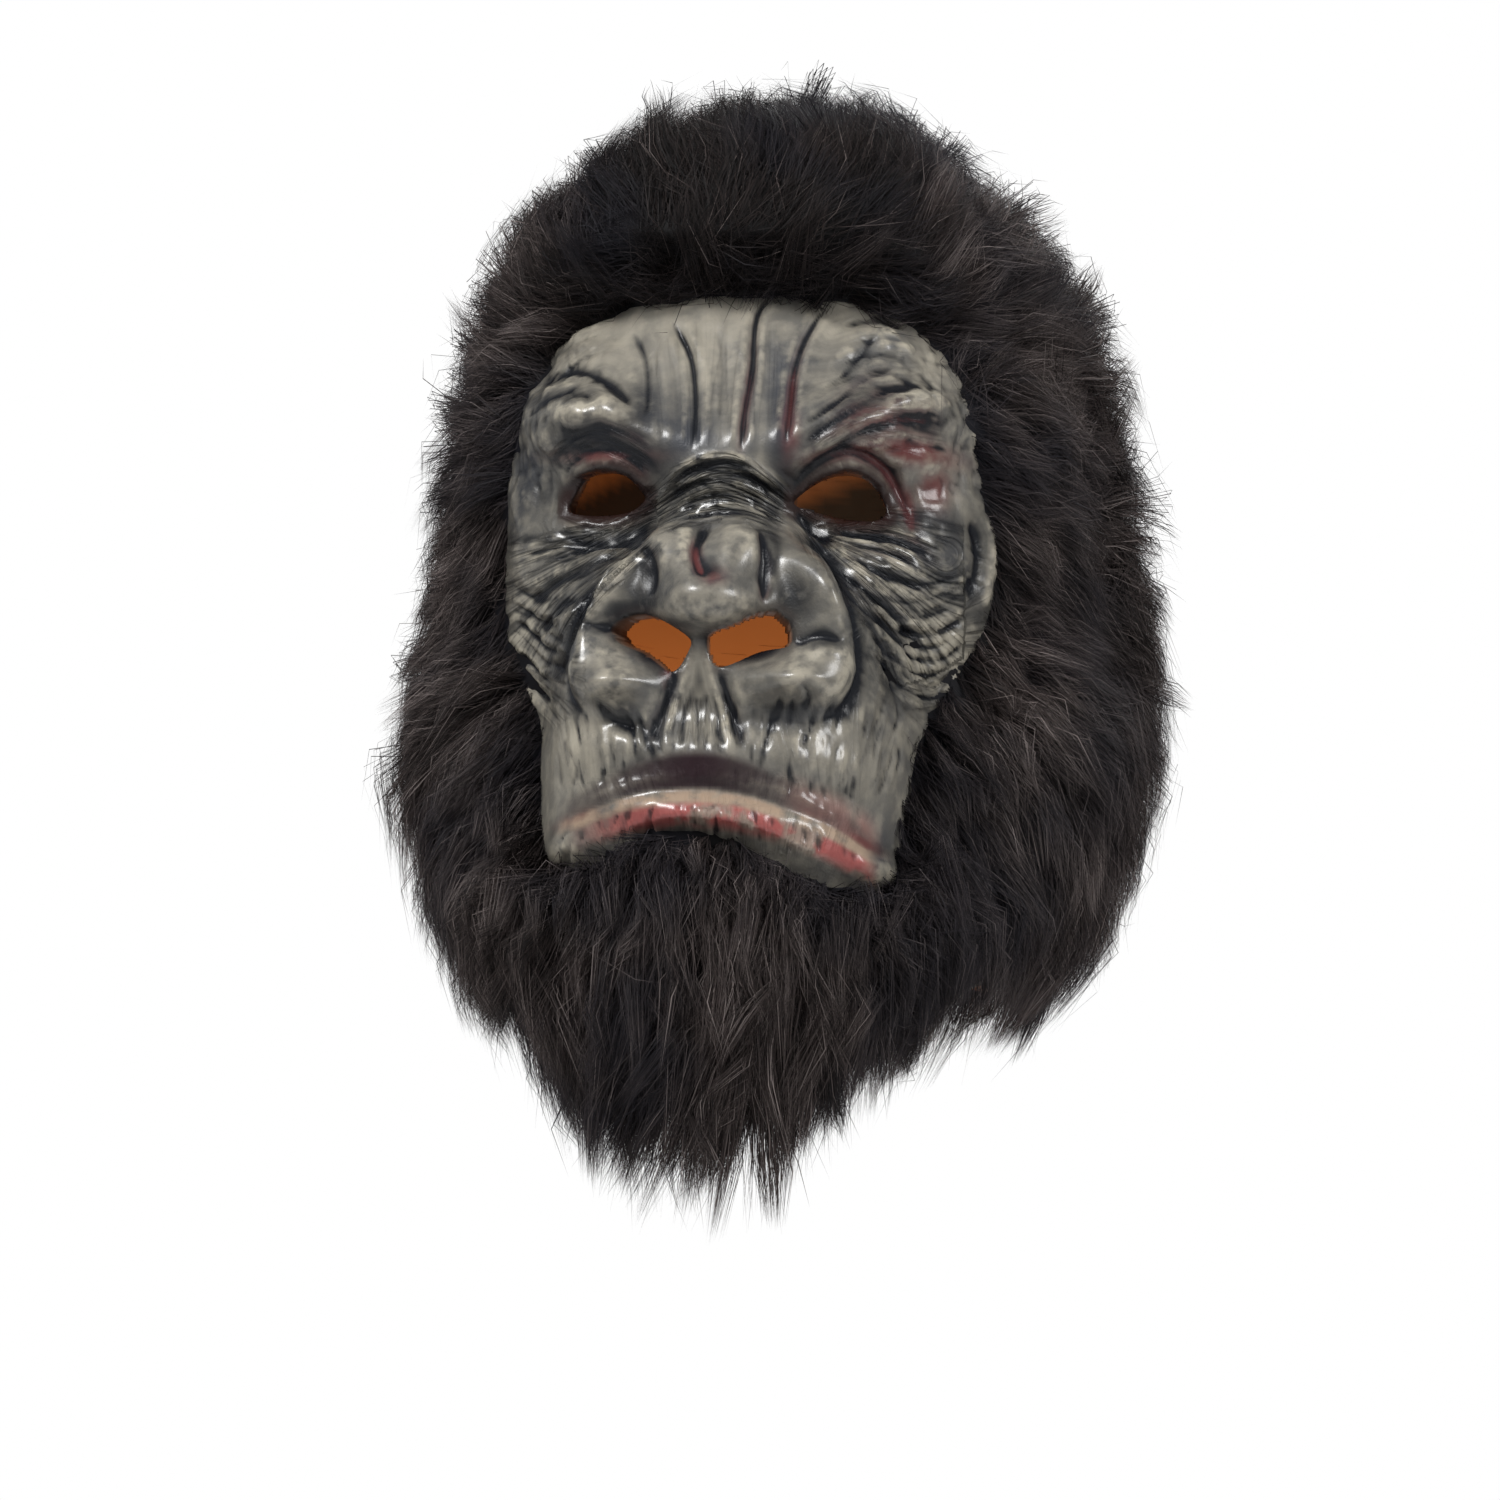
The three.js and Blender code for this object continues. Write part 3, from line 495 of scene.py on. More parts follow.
# Soft patches of each paint, and of painted shade and painted highlight, in the same pixels, and how
# much of it there is at most
shades = {
    # Dark wash and painted shade: over the nose, in the eye sockets, under the brows, round the lids,
    # and in the creases beside and under the nose
    "shadeWash": table(
        "x y wide tall turn most",
        (598, 463, 50, 11, 0, 0.7),
        (846, 466, 54, 11, 0, 0.6),
        (600, 497, 66, 38, 0, 0.85),
        (848, 500, 84, 40, -10, 0.8),
        (598, 436, 66, 26, 0, 0.8),
        (655, 470, 22, 34, 0, 0.8),
        (784, 478, 18, 40, 0, 0.8),
        (716, 492, 92, 28, 0, 0.45),
        (598, 560, 78, 22, 38, 0.7),
        (842, 585, 80, 22, -42, 0.65),
        (870, 430, 80, 9, 14, 0.7),
        (845, 420, 62, 20, 32, 0.78),
        (880, 668, 20, 44, 20, 0.6),
        (645, 572, 16, 34, 0, 0.9),
        (628, 608, 50, 15, 16, 0.92),
        (770, 566, 13, 46, 0, 0.95),
        (792, 598, 28, 30, 0, 0.95),
        (596, 628, 24, 9, 0, 0.8),
        (826, 643, 28, 9, 0, 0.8),
        (560, 650, 14, 60, 0, 0.6),
        (868, 640, 13, 70, 0, 0.6),
        (503, 520, 15, 90, 0, 0.6),
        (978, 545, 16, 60, 0, 0.6),
        (575, 676, 9, 44, 0, 0.55),
        (634, 726, 32, 9, -10, 0.5),
        (712, 630, 165, 105, 0, 0.4),
        (630, 420, 26, 34, 0, 0.7),
        (562, 396, 34, 10, 0, 0.7),
        (524, 470, 30, 62, 0, 0.5),
        (930, 520, 40, 14, 0, 0.5),
        (602, 530, 54, 12, 0, 0.75),
        (640, 590, 30, 22, 40, 0.8),
        (540, 400, 46, 9, 10, 0.7),
        (560, 355, 44, 7, 18, 0.6),
    ),
    "blue": table(
        "x y wide tall turn most",
        (690, 436, 36, 38, 0, 0.8),
        (650, 415, 26, 40, 0, 0.7),
        (782, 420, 20, 70, 0, 0.8),
        (750, 420, 10, 60, 0, 0.5),
        (866, 352, 50, 14, 15, 0.45),
        (660, 705, 20, 44, 0, 0.6),
        (800, 716, 44, 12, 10, 0.55),
        (628, 712, 34, 12, -16, 0.5),
    ),
    # Pale paint and painted highlight: on the forehead, temples, cheeks, muzzle and septum
    "pale": table(
        "x y wide tall turn most",
        (716, 345, 66, 58, 0, 0.45),
        (598, 345, 50, 30, 20, 0.45),
        (620, 400, 16, 40, 0, 0.35),
        (836, 345, 30, 40, -20, 0.4),
        (930, 350, 18, 50, 0, 0.4),
        (580, 745, 28, 46, 0, 0.7),
        (850, 770, 46, 50, 0, 0.35),
        (524, 640, 20, 64, 0, 0.7),
        (938, 645, 30, 52, 0, 0.75),
        (699, 692, 14, 50, 0, 0.7),
    ),
    "red": table(
        "x y wide tall turn most",
        (912, 452, 46, 15, -12, 0.95),
        (934, 488, 18, 24, 0, 0.75),
        (908, 512, 9, 34, 12, 0.8),
        (850, 452, 50, 9, 10, 0.7),
        (880, 420, 50, 7, 16, 0.6),
        (604, 456, 46, 9, 0, 0.75),
        (790, 432, 10, 30, 0, 0.6),
        (714, 576, 14, 9, 0, 0.7),
        (668, 670, 7, 16, 0, 0.8),
        (578, 818, 24, 8, 20, 0.7),
        (862, 842, 22, 7, -32, 0.9),
    ),
}

# Rounded forms in the same pixels: middle, half width and half height, turn in degrees, rise in mm
lobes = table(
    "name x y wide tall turn rise",
    ("nose left lobe", 679, 556, 27, 29, 0, 4.6),
    ("nose right lobe", 735, 553, 26, 29, 0, 4.8),
    ("nose ball", 711, 604, 50, 25, 0, 6.2),
    ("nose left puff", 618, 584, 27, 27, 30, 3),
    ("nose right puff", 804, 584, 36, 34, 40, 3.2),
    ("left wing", 607, 676, 36, 38, 0, 6.6),
    ("left wing foot", 640, 697, 34, 24, -20, 3.2),
    ("right wing", 814, 672, 40, 34, 0, 6.6),
    ("right wing foot", 764, 684, 38, 22, 15, 3.4),
    ("left nostril dip", 650, 640, 38, 20, -25, -2.6),
    ("right nostril dip", 750, 640, 42, 20, 12, -2.6),
    ("left brow lump", 575, 414, 24, 13, 0, 3),
    ("left brow lump two", 548, 438, 14, 16, 0, 2.2),
    ("left brow lump three", 612, 410, 16, 12, -30, 2.2),
    ("left temple lobe", 572, 346, 34, 14, 30, 2.2),
    ("right brow lump", 915, 402, 26, 11, 0, 2.4),
    ("right temple lobe", 895, 345, 26, 12, -30, 2.2),
    ("right lid lump", 925, 462, 24, 18, 0, 2.2),
    ("left cheek lump", 522, 500, 12, 26, 0, 2.2),
    ("left cheek pad", 600, 748, 34, 30, 0, 2.2),
    ("right cheek pad", 820, 752, 50, 30, -10, 2.4),
    ("left lip corner", 568, 852, 18, 17, 0, 2.4),
    ("right lip corner", 872, 872, 26, 16, -10, 2.6),
)

# Holes in the same pixels
holes = {
    "left eye": [
        569, 510, 575, 495, 587, 480, 605, 474, 625, 476,
        640, 490, 645, 500, 630, 512, 605, 516, 580, 515,
    ],
    "right eye": [
        795, 505, 805, 492, 825, 480, 845, 476, 865, 480,
        880, 495, 886, 512, 875, 521, 850, 520, 825, 515,
    ],
    "left nostril": [611, 627, 625, 617, 650, 615, 687, 636, 689, 650, 672, 672, 645, 655, 617, 642],
    "right nostril": [707, 637, 730, 625, 760, 612, 780, 611, 791, 625, 790, 645, 760, 652, 717, 667],
}

# Fine vertical wrinkles over the lips: where they are sown, by the mouth's line or by the frame, how
# many, and their length in pixels
wrinkles = table(
    "left right top bottom byMouth count long deep lean",
    (556, 660, 715, 775, 0, 40, 38, 0.5, 0.15),
    (735, 900, 705, 790, 0, 64, 40, 0.5, -0.2),
    (665, 735, 690, 768, 0, 18, 34, 0.4, 0),
    (570, 860, -30, -8, 1, 30, 20, 0.5, 0),
    (572, 862, 18, 34, 1, 30, 30, 0.9, 0),
    (560, 590, 835, 862, 0, 6, 22, 0.6, -0.2),
)

# Where fine wrinkles run down the face: middle, half width and half height, how far they fan out
# downwards, pixels from one to the next and pixels along one
brushed = table(
    "x y wide tall fan pitch length most",
    (600, 745, 60, 70, 0.3, 14, 120, 0.28),
    (835, 750, 85, 75, 0.3, 14, 120, 0.38),
    (700, 788, 160, 26, 0.1, 10, 80, 0.4),
    (720, 832, 165, 34, 0.1, 11, 80, 0.5),
    (716, 385, 90, 80, 0.05, 15, 220, 0.3),
)

# The lips' paint, by how many pixels a point lies below the mouth's line
lips = {"purpleFrom": -46, "beigeTo": 9, "redTo": 42, "left": 562, "right": 868}

# Millimetres to a pixel at the face, and the middles of its parts in pixels from the left
pixelSize = 0.3
middles = {"nose": 712, "bridge": 718, "brow": 735}


# Nearest distance in pixels to a line, and how far along it that is from 0 to 1
def lineDistance(pixels, line):
    nearest = np.full(len(pixels), 1e9)
    along = np.zeros(len(pixels))
    lengths = np.linalg.norm(np.diff(line, axis=0), axis=1)
    starts = np.concatenate([[0], np.cumsum(lengths)])
    for k, (a, b) in enumerate(zip(line[:-1], line[1:])):
        way = b - a
        t = np.clip(((pixels - a) @ way) / max(way @ way, 1e-9), 0, 1)
        gap = np.hypot(*(pixels - a - t[:, None] * way).T)
        closer = gap < nearest
        nearest = np.where(closer, gap, nearest)
        along = np.where(closer, (starts[k] + t * lengths[k]) / starts[-1], along)
    return nearest, along


# Points in the box round a line, with a margin
def inBox(points, line, margin):
    low = line.min(axis=0) - margin
    high = line.max(axis=0) + margin
    return np.all((points > low) & (points < high), axis=-1)


# Square of the distance from a patch's middle, where its edge is at 1
def patchDistance(pixels, row):
    turn = math.radians(row["turn"])
    x = pixels[..., 0] - row["x"]
    y = pixels[..., 1] - row["y"]
    u = (x * math.cos(turn) - y * math.sin(turn)) / row["wide"]
    v = (x * math.sin(turn) + y * math.cos(turn)) / row["tall"]
    return u * u + v * v


def mouthLine(x):
    line = smoothLine(next(row["line"] for row in creases if row["name"] == "mouth"), False, 5)
    return np.interp(x, line[:, 0], line[:, 1])


# One wrinkle over the lips, placed, leant and bent at random
def lipWrinkle(row, rng):
    x = rng.uniform(row["left"], row["right"])
    y = rng.uniform(row["top"], row["bottom"]) + (mouthLine(x) if row["byMouth"] else 0)
    half = row["long"] * rng.uniform(0.3, 0.6)
    lean = row["lean"] + rng.normal() * 0.12
    bend = rng.normal() * 2
    line = [[x - lean * half, y - half], [x + bend, y], [x + lean * half, y + half]]
    deep = row["deep"] * rng.uniform(0.4, 1.2)
    return {"line": smoothLine(line, False, 3), "wide": rng.uniform(0.55, 0.85), "deep": deep, "red": 0}


# One wrinkle of a bundle, between its first and last line
def bundleWrinkle(row, first, last, k, rng):
    share = (k + rng.uniform(-0.25, 0.25)) / (row["count"] - 1)
    line = first + (last - first) * share + rng.normal(size=2) * 1.2
    line[:, 1] += 1.6 * np.sin(np.linspace(0, rng.uniform(5, 9), len(line)) + rng.uniform(0, 6))
    cut = rng.integers(0, 1 + len(line) // 4, 2)
    deep = row["deep"] * rng.uniform(0.55, 1.2)
    wide = row["wide"] * rng.uniform(0.8, 1.2)
    return {"line": line[cut[0] : len(line) - cut[1]], "wide": wide, "deep": deep, "red": row["red"]}


def allStrokes():
    rng = np.random.default_rng(4)
    strokes = [{**row, "line": smoothLine(row["line"], False, 5)} for row in creases]
    for row in wrinkles:
        strokes += [lipWrinkle(row, rng) for _ in range(row["count"])]
    for row in bundles:
        first = smoothLine(row["first"], False, 5)
        last = smoothLine(row["last"], False, 5)
        strokes += [bundleWrinkle(row, first, last, k, rng) for k in range(row["count"])]
    return strokes


# Height that creases and lobes add where a point of the skin is seen in the photograph, and how red
# the bottoms of the creases are
def sculpt(pixels):
    height = np.zeros(len(pixels))
    red = np.zeros(len(pixels))
    for row in lobes:
        height += row["rise"] * np.exp(-(patchDistance(pixels, row) ** 1.5))
    for row in allStrokes():
        wide = row["wide"] / pixelSize
        near = np.nonzero(inBox(pixels, row["line"], 4 * wide))[0]
        gap, along = lineDistance(pixels[near], row["line"])
        fade = band(along, -0.02, 0.2, 0.8, 1.02)
        shoulder = np.exp(-(((gap - 2.4 * wide) / (1.3 * wide)) ** 2))
        height[near] -= row["deep"] * fade * (np.exp(-gap / wide) - 0.26 * shoulder)
        tint = row["red"] * fade * smoothStep(along, 0.1, 0.6) * np.exp(-((gap / (1.2 * wide)) ** 2))
        red[near] = np.maximum(red[near], tint)
    return height, red


# Where a point lies in a bundle of wrinkles: across it, along it (both in wrinkle widths), and how
# strongly it is wrinkled there
def wrinkleFlow(pixels):
    across, along, most = np.zeros((3, len(pixels)))
    for k, row in enumerate(bundles):
        lines = [smoothLine(row[end], False, 5) for end in ("first", "last")]
        near = np.nonzero(inBox(pixels, np.concatenate(lines), 20))[0]
        gaps, places = zip(*(lineDistance(pixels[near], line) for line in lines))
        width = gaps[0] + gaps[1]
        share = gaps[0] / np.maximum(width, 1e-6)
        apart = np.linalg.norm(lines[0] - lines[1], axis=1)
        place = places[0] + (places[1] - places[0]) * share
        whole = np.interp(place, np.linspace(0, 1, len(apart)), apart)
        mask = band(place, 0, 0.1, 0.9, 1) * row["fine"]
        mask = mask * (1 - smoothStep(width, whole * 1.05 + 6, whole * 1.25 + 16))
        stronger = mask > most[near]
        use = near[stronger]
        across[use] = (share * row["lines"])[stronger] + 20 * k
        along[use] = (place * np.linalg.norm(np.diff(lines[0], axis=0), axis=1).sum() / 60)[stronger]
        most[use] = mask[stronger]
    for k, row in enumerate(brushed):
        x = (pixels[:, 0] - row["x"]) / row["wide"]
        y = (pixels[:, 1] - row["y"]) / row["tall"]
        mask = row["most"] * (1 - smoothStep(np.hypot(x, y), 0.6, 1))
        use = mask > most
        turned = pixels[use, 0] + row["fan"] * (pixels[use, 0] - row["x"]) * y[use]
        across[use] = turned / row["pitch"] + 400 + 40 * k
        along[use] = pixels[use, 1] / row["length"]
        most[use] = mask[use]
    return across, along, most


# Patches of one paint where a point is seen in the photograph; the dark and pale patches hold painted
# shade and painted highlight too
def shadeOf(paint, pixels):
    total = np.zeros(pixels.shape[:-1])
    for row in shades[paint]:
        total = np.maximum(total, row["most"] * np.exp(-(patchDistance(pixels, row) ** 1.3)))
    return total


# Smooth random values at points, from a lattice of random numbers
def lattice(points, size, seed):
    rng = np.random.default_rng(seed)
    table = rng.random(4096)
    at = points / size
    base = np.floor(at).astype(np.int64)
    t = at - base
    t = t * t * (3 - 2 * t)
    total = 0
    for corner in np.ndindex(2, 2, 2):
        cell = base + np.array(corner)
        key = (cell[..., 0] * 73856093) ^ (cell[..., 1] * 19349663) ^ (cell[..., 2] * 83492791)
        weight = np.prod(np.where(np.array(corner) == 1, t, 1 - t), axis=-1)
        total = total + table[key & 4095] * weight
    return total


# Leathery relief: wrinkles that run away from the nose over the cheeks, and lumps over the temples
def leather(points, pixels):
    x, y = pixels[..., 0], pixels[..., 1]
    side = np.where(x < middles["nose"], -1, 1)
    along = side * x * 0.76 + y * 0.65
    across = y * 0.76 - side * x * 0.65
    bent = across + 14 * lattice(np.stack([along, across, side], axis=-1), 40, 3)
    place = np.stack([along / 26, bent / 8.5, side * 3.0], axis=-1)
    lines = np.abs(lattice(place, 1, 7) - 0.5) + 0.5 * np.abs(lattice(place * 2.1, 1, 8) - 0.5)
    lumps = np.abs(lattice(points, 6.5, 9) - 0.5) + 0.5 * np.abs(lattice(points, 3.1, 10) - 0.5)
    cheeks = smoothStep(np.abs(x - middles["nose"]), 105, 170) * band(y, 500, 550, 700, 770)
    temples = smoothStep(np.abs(x - middles["brow"]), 100, 180) * (1 - smoothStep(y, 480, 530))
    bridge = np.exp(-(((x - middles["bridge"]) / 100) ** 2) - ((y - 497) / 30) ** 2)
    mean = 0.32
    return (1.3 * cheeks + 1.6 * bridge) * (lines - mean) + (0.3 + 2.1 * temples) * (lumps - mean)


def blurred(values, reach):
    size = np.arange(-3 * reach, 3 * reach + 1)
    weight = np.exp(-0.5 * (size / reach) ** 2)
    weight = weight / weight.sum()
    for axis in (0, 1):
        margins = [(3 * reach, 3 * reach) if k == axis else (0, 0) for k in (0, 1)]
        padded = np.pad(values, margins, "edge")
        length = values.shape[axis]
        values = sum(w * np.take(padded, range(i, i + length), axis) for i, w in enumerate(weight))
    return values


def lipPaint(pixels):
    x, y = pixels[..., 0], pixels[..., 1]
    below = y - mouthLine(x)
    left, right, edge = lips["left"], lips["right"], lips["beigeTo"]
    ends = band(x, left - 12, left + 14, right - 10, right + 14)
    deep = 0.5 + 0.5 * np.exp(-(((x - 695) / 85) ** 2))
    reach = lips["purpleFrom"] * (0.5 + 0.5 * np.exp(-(((x - 700) / 110) ** 2)))
    purple = ends * deep * band(below, reach, reach + 14, -6, 3)
    beige = ends * band(below, -3, 3, edge, edge + 7)
    lower = ends * band(below, edge - 2, edge + 7, lips["redTo"] - 14, lips["redTo"])
    lower = lower * smoothStep(x, 560, 640)
    blush = 0.75 * band(x, 770, 812, 862, 885) * band(below, -44, -12, -3, 4)
    return purple, beige, lower, blush


# Moves the skin's points beside a hole onto its outline, and gives how far each point near a hole
# lies from it, negative inside
def fitHoles(points, pixels):
    inHole = np.full(pixels.shape[:2], 1e9)
    rowStep, columnStep = (np.gradient(points, axis=axis) for axis in (0, 1))
    pixelRow, pixelColumn = (np.gradient(pixels, axis=axis) for axis in (0, 1))
    for corners in holes.values():
        outline = smoothLine(corners, True, 4)
        near = inBox(pixels, outline, 12)
        away = outlineDistance(pixels[near], outline)
        inHole[near] = np.minimum(inHole[near], away)
        rows, columns = (ids[np.abs(away) < 2.1] for ids in np.nonzero(near))
        here = pixels[rows, columns]
        ring = smoothLine(outline, True, 6)
        shift = ring[np.argmin(np.linalg.norm(here[:, None] - ring[None], axis=-1), axis=1)] - here
        a = pixelRow[rows, columns]
        b = pixelColumn[rows, columns]
        scale = a[:, 0] * b[:, 1] - a[:, 1] * b[:, 0]
        u = (shift[:, 0] * b[:, 1] - shift[:, 1] * b[:, 0]) / scale
        v = (a[:, 0] * shift[:, 1] - a[:, 1] * shift[:, 0]) / scale
        points[rows, columns] += rowStep[rows, columns] * u[:, None]
        points[rows, columns] += columnStep[rows, columns] * v[:, None]
        inHole[rows, columns] = 0
    return inHole


# The inside of the head on a coarser grid, open where the holes are
def insideHead():
    angle, drop = headGrid(inner)
    points, _ = rubberPoint(angle, drop, 0 * drop - linerDepth, mounds)
    points[0] = (0, 0, 0)
    pixels = photoPoint(points)
    gaps = [outlineDistance(pixels, smoothLine(corners, True, 2)) for corners in holes.values()]
    away = np.where(np.cos(angle) > 0.4, np.min(gaps, axis=0), 1e9)
    quads = gridFaces(*angle.shape)
    keep = away.ravel()[quads].max(axis=1) > 3
    keep &= away.ravel()[quads].min(axis=1) > -2
    return points.reshape(-1, 3), quads[keep][:, ::-1]


# Sides of the kept faces that border on the faces cut out for the holes
def holeSides(kept, gone, count):
    sides = np.concatenate([kept[:, [k, (k + 1) % 4]] for k in range(4)])
    lost = np.concatenate([gone[:, [(k + 1) % 4, k]] for k in range(4)])
    keys, lostKeys = (pair[:, 0].astype(np.int64) * count + pair[:, 1] for pair in (sides, lost))
    return sides[np.isin(keys, lostKeys)]


# Painted shade on the bare rubber inside: dark low down behind each eye hole, as the photograph shows
# it
def shadeBehindHoles(points):
    x, y = photoPoint(points).T
    line = np.where(x < middles["nose"], 497 - 0.5 * (x - 592), 500 - 0.42 * (x - 822))
    shade = 0.45 + 0.53 * smoothStep(y - line, -14, 6)
    return shade * (1 - smoothStep(y, 550, 570))


def makeSkin(material):
    angle, drop = headGrid(skin)
    points, out = rubberPoint(angle, drop, head["wall"] + 0 * drop, mounds + mouldings)
    points[0] = (0, 0, head["wall"])
    pixels = photoPoint(points)
    ahead = smoothStep(np.cos(angle), 0.42, 0.55)
    shape, red = (value.reshape(drop.shape) for value in sculpt(pixels.reshape(-1, 2)))
    rough = leather(points, pixels) * ahead * smoothStep(drop, 40, 56)
    height = np.maximum(shape * ahead + rough, -skin["deepest"])
    points = points + out * height[..., None]
    pixels = photoPoint(points)
    inHole = fitHoles(points, pixels)
    purple, beige, lower, blush = lipPaint(pixels)
    across, along, wrinkled = wrinkleFlow(pixels.reshape(-1, 2))
    byEye = pixels[..., 1] < 560
    rimDistance = np.maximum(inHole, 0) / np.where(byEye, 15, 8)

    # Faces outside the holes, with a wall round each hole and one along the foot
    quads = gridFaces(*drop.shape)
    depth = inHole.ravel()[quads]
    keep = (depth.mean(axis=1) > 0) & ~(depth <= 0).all(axis=1)
    count = drop.size
    sides = holeSides(quads[keep], quads[~keep], count)
    lining, _ = rubberPoint(angle, drop, 0 * drop - linerDepth, mounds)
    rimPoints = np.unique(sides)
    order = np.full(count, -1)
    order[rimPoints] = count + np.arange(len(rimPoints))
    rimQuads = np.stack([sides[:, 1], sides[:, 0], order[sides[:, 0]], order[sides[:, 1]]], axis=-1)
    columns = drop.shape[1]
    footStart = count + len(rimPoints)
    last = np.arange(columns - 1) + count - columns
    foot = np.arange(columns - 1) + footStart
    footQuads = np.stack([last, last + 1, foot + 1, foot], axis=-1)
    shell, shellQuads = insideHead()
    inside = np.concatenate([lining.reshape(-1, 3)[rimPoints], lining[-1], shell])

    def spread(value, rest=0):
        return np.concatenate([value.ravel(), np.full(len(inside), rest)])

    everywhere = {
        # Relief of the skin, which puts painted shade in its hollows and painted highlight on its
        # raised parts
        "small": height - blurred(height, 3),
        "broad": height - blurred(height, 9),
        "clean": 1 - np.clip(1.5 * purple + 1.5 * beige, 0.35 * lower, 0.9),
        "across": across,
        "along": along,
    }
    inFront = {
        "red": np.maximum(red, shadeOf("red", pixels)),
        "purple": purple,
        "beige": beige,
        "blush": blush,
        "lower": lower,
        # Patches of dark wash and painted shade
        "shadeWashed": shadeOf("shadeWash", pixels),
        "blued": shadeOf("blue", pixels),
        # Patches of pale paint and painted highlight
        "paled": shadeOf("pale", pixels),
        # Dark lid paint and painted shade round the eye holes, thinner round the nostrils
        "rim": np.where(byEye, 0.94, 0.35) * np.exp(-(rimDistance**4)),
        "wrinkled": wrinkled.reshape(drop.shape),
    }
    values = {key: spread(value) for key, value in everywhere.items()}
    values.update({key: spread(value * ahead) for key, value in inFront.items()})
    values["raw"] = spread(0 * drop, 1)
    # Painted shade inside, low down behind the eye holes
    values["holeShade"] = np.concatenate([np.zeros(count), shadeBehindHoles(inside)])
    groups = [quads[keep], rimQuads, footQuads, shellQuads + footStart + columns]
    points = np.concatenate([points.reshape(-1, 3), inside])
    return makeObject("face_skin", points, groups, material, values)


def newMaterial(name):
    material = bpy.data.materials.new(name)
    material.use_nodes = True
    tree = material.node_tree
    return material, tree, tree.nodes["Principled BSDF"]


# Links a node's sockets to other sockets, or sets them where they are given a number or a colour
def setSockets(tree, node, sockets):
    for key, value in sockets.items():
        if isinstance(value, bpy.types.NodeSocket):
            tree.links.new(value, node.inputs[key])
        else:
            node.inputs[key].default_value = value
    return node.outputs


def addNode(tree, kind, sockets):
    return setSockets(tree, tree.nodes.new("ShaderNode" + kind), sockets)


def addMath(tree, operation, *values):
    node = tree.nodes.new("ShaderNodeMath")
    node.operation = operation
    return setSockets(tree, node, dict(enumerate(values)))["Value"]


def multiply(tree, a, b):
    return addMath(tree, "MULTIPLY", a, b)


def readValue(tree, name):
    node = tree.nodes.new("ShaderNodeAttribute")
    node.attribute_name = name
    return node.outputs["Fac"]


def spreadValue(tree, value, low, high, toLow=0.0, toHigh=1.0):
    sockets = {"Value": value, "From Min": low, "From Max": high, "To Min": toLow, "To Max": toHigh}
    return addNode(tree, "MapRange", sockets)["Result"]


# Paints a colour over another where a mask says so
def paintOver(tree, under, mask, colour):
    node = tree.nodes.new("ShaderNodeMix")
    node.data_type = "RGBA"
    under = (*under, 1) if isinstance(under, tuple) else under
    return setSockets(tree, node, {"Factor": mask, 6: under, 7: (*colour, 1)})[2]


# A node group that takes numbers and puts out one value, for the materials to share
def newGroup(name, inputs, output):
    tree = bpy.data.node_groups.new(name, "ShaderNodeTree")
    for label, value in inputs.items():
        socket = tree.interface.new_socket(label, in_out="INPUT", socket_type="NodeSocketFloat")
        socket.default_value = value
    tree.interface.new_socket(output, in_out="OUTPUT", socket_type="NodeSocketFloat")
    given = tree.nodes.new("NodeGroupInput").outputs
    end = tree.nodes.new("NodeGroupOutput")
    return tree, given, end


def addGroup(tree, group, sockets):
    node = tree.nodes.new("ShaderNodeGroup")
    node.node_tree = group
    return setSockets(tree, node, sockets)[0]


# Patches of noise between 0 and 1, with a hard or a soft edge
def patchesGroup():
    tree, given, end = newGroup("patches", {"Scale": 50, "Detail": 4, "Low": 0.4, "High": 0.6}, "Value")
    place = addNode(tree, "TexCoord", {})["Object"]
    sockets = {"Vector": place, "Scale": given["Scale"], "Detail": given["Detail"]}
    noise = addNode(tree, "TexNoise", sockets)["Fac"]
    setSockets(tree, end, {"Value": spreadValue(tree, noise, given["Low"], given["High"])})
    return tree


# Fine relief of moulded rubber: crinkles and pores
def crinkleGroup():
    tree, given, end = newGroup("crinkle", {"Crinkle Scale": 300, "Pore Scale": 1200}, "Height")
    place = addNode(tree, "TexCoord", {})["Object"]
    sockets = {"Vector": place, "Scale": given["Crinkle Scale"], "Detail": 5, "Distortion": 0.8}
    noise = addNode(tree, "TexNoise", sockets)["Fac"]
    pores = addNode(tree, "TexVoronoi", {"Vector": place, "Scale": given["Pore Scale"]})["Distance"]
    setSockets(tree, end, {"Height": addMath(tree, "ADD", noise, multiply(tree, pores, 0.25))})
    return tree


# Wrinkles that branch and join along a direction: 0 in their sharp bottoms, about 1 between them
def wrinklesGroup():
    tree, given, end = newGroup("wrinkles", {"Across": 0, "Along": 0}, "Height")
    place = addNode(tree, "CombineXYZ", {"X": given["Across"], "Y": given["Along"]})["Vector"]
    heights = []
    for scale, share in ((0.62, 1.7), (1.5, 0.68)):
        sockets = {"Vector": place, "Scale": scale, "Detail": 1, "Distortion": 0.3}
        away = addMath(tree, "SUBTRACT", addNode(tree, "TexNoise", sockets)["Fac"], 0.5)
        root = addMath(tree, "POWER", addMath(tree, "ABSOLUTE", away), 0.6)
        heights.append(multiply(tree, root, share))
    setSockets(tree, end, {"Height": addMath(tree, "ADD", *heights)})
    return tree


patches = patchesGroup()
crinkle = crinkleGroup()
wrinklesTree = wrinklesGroup()


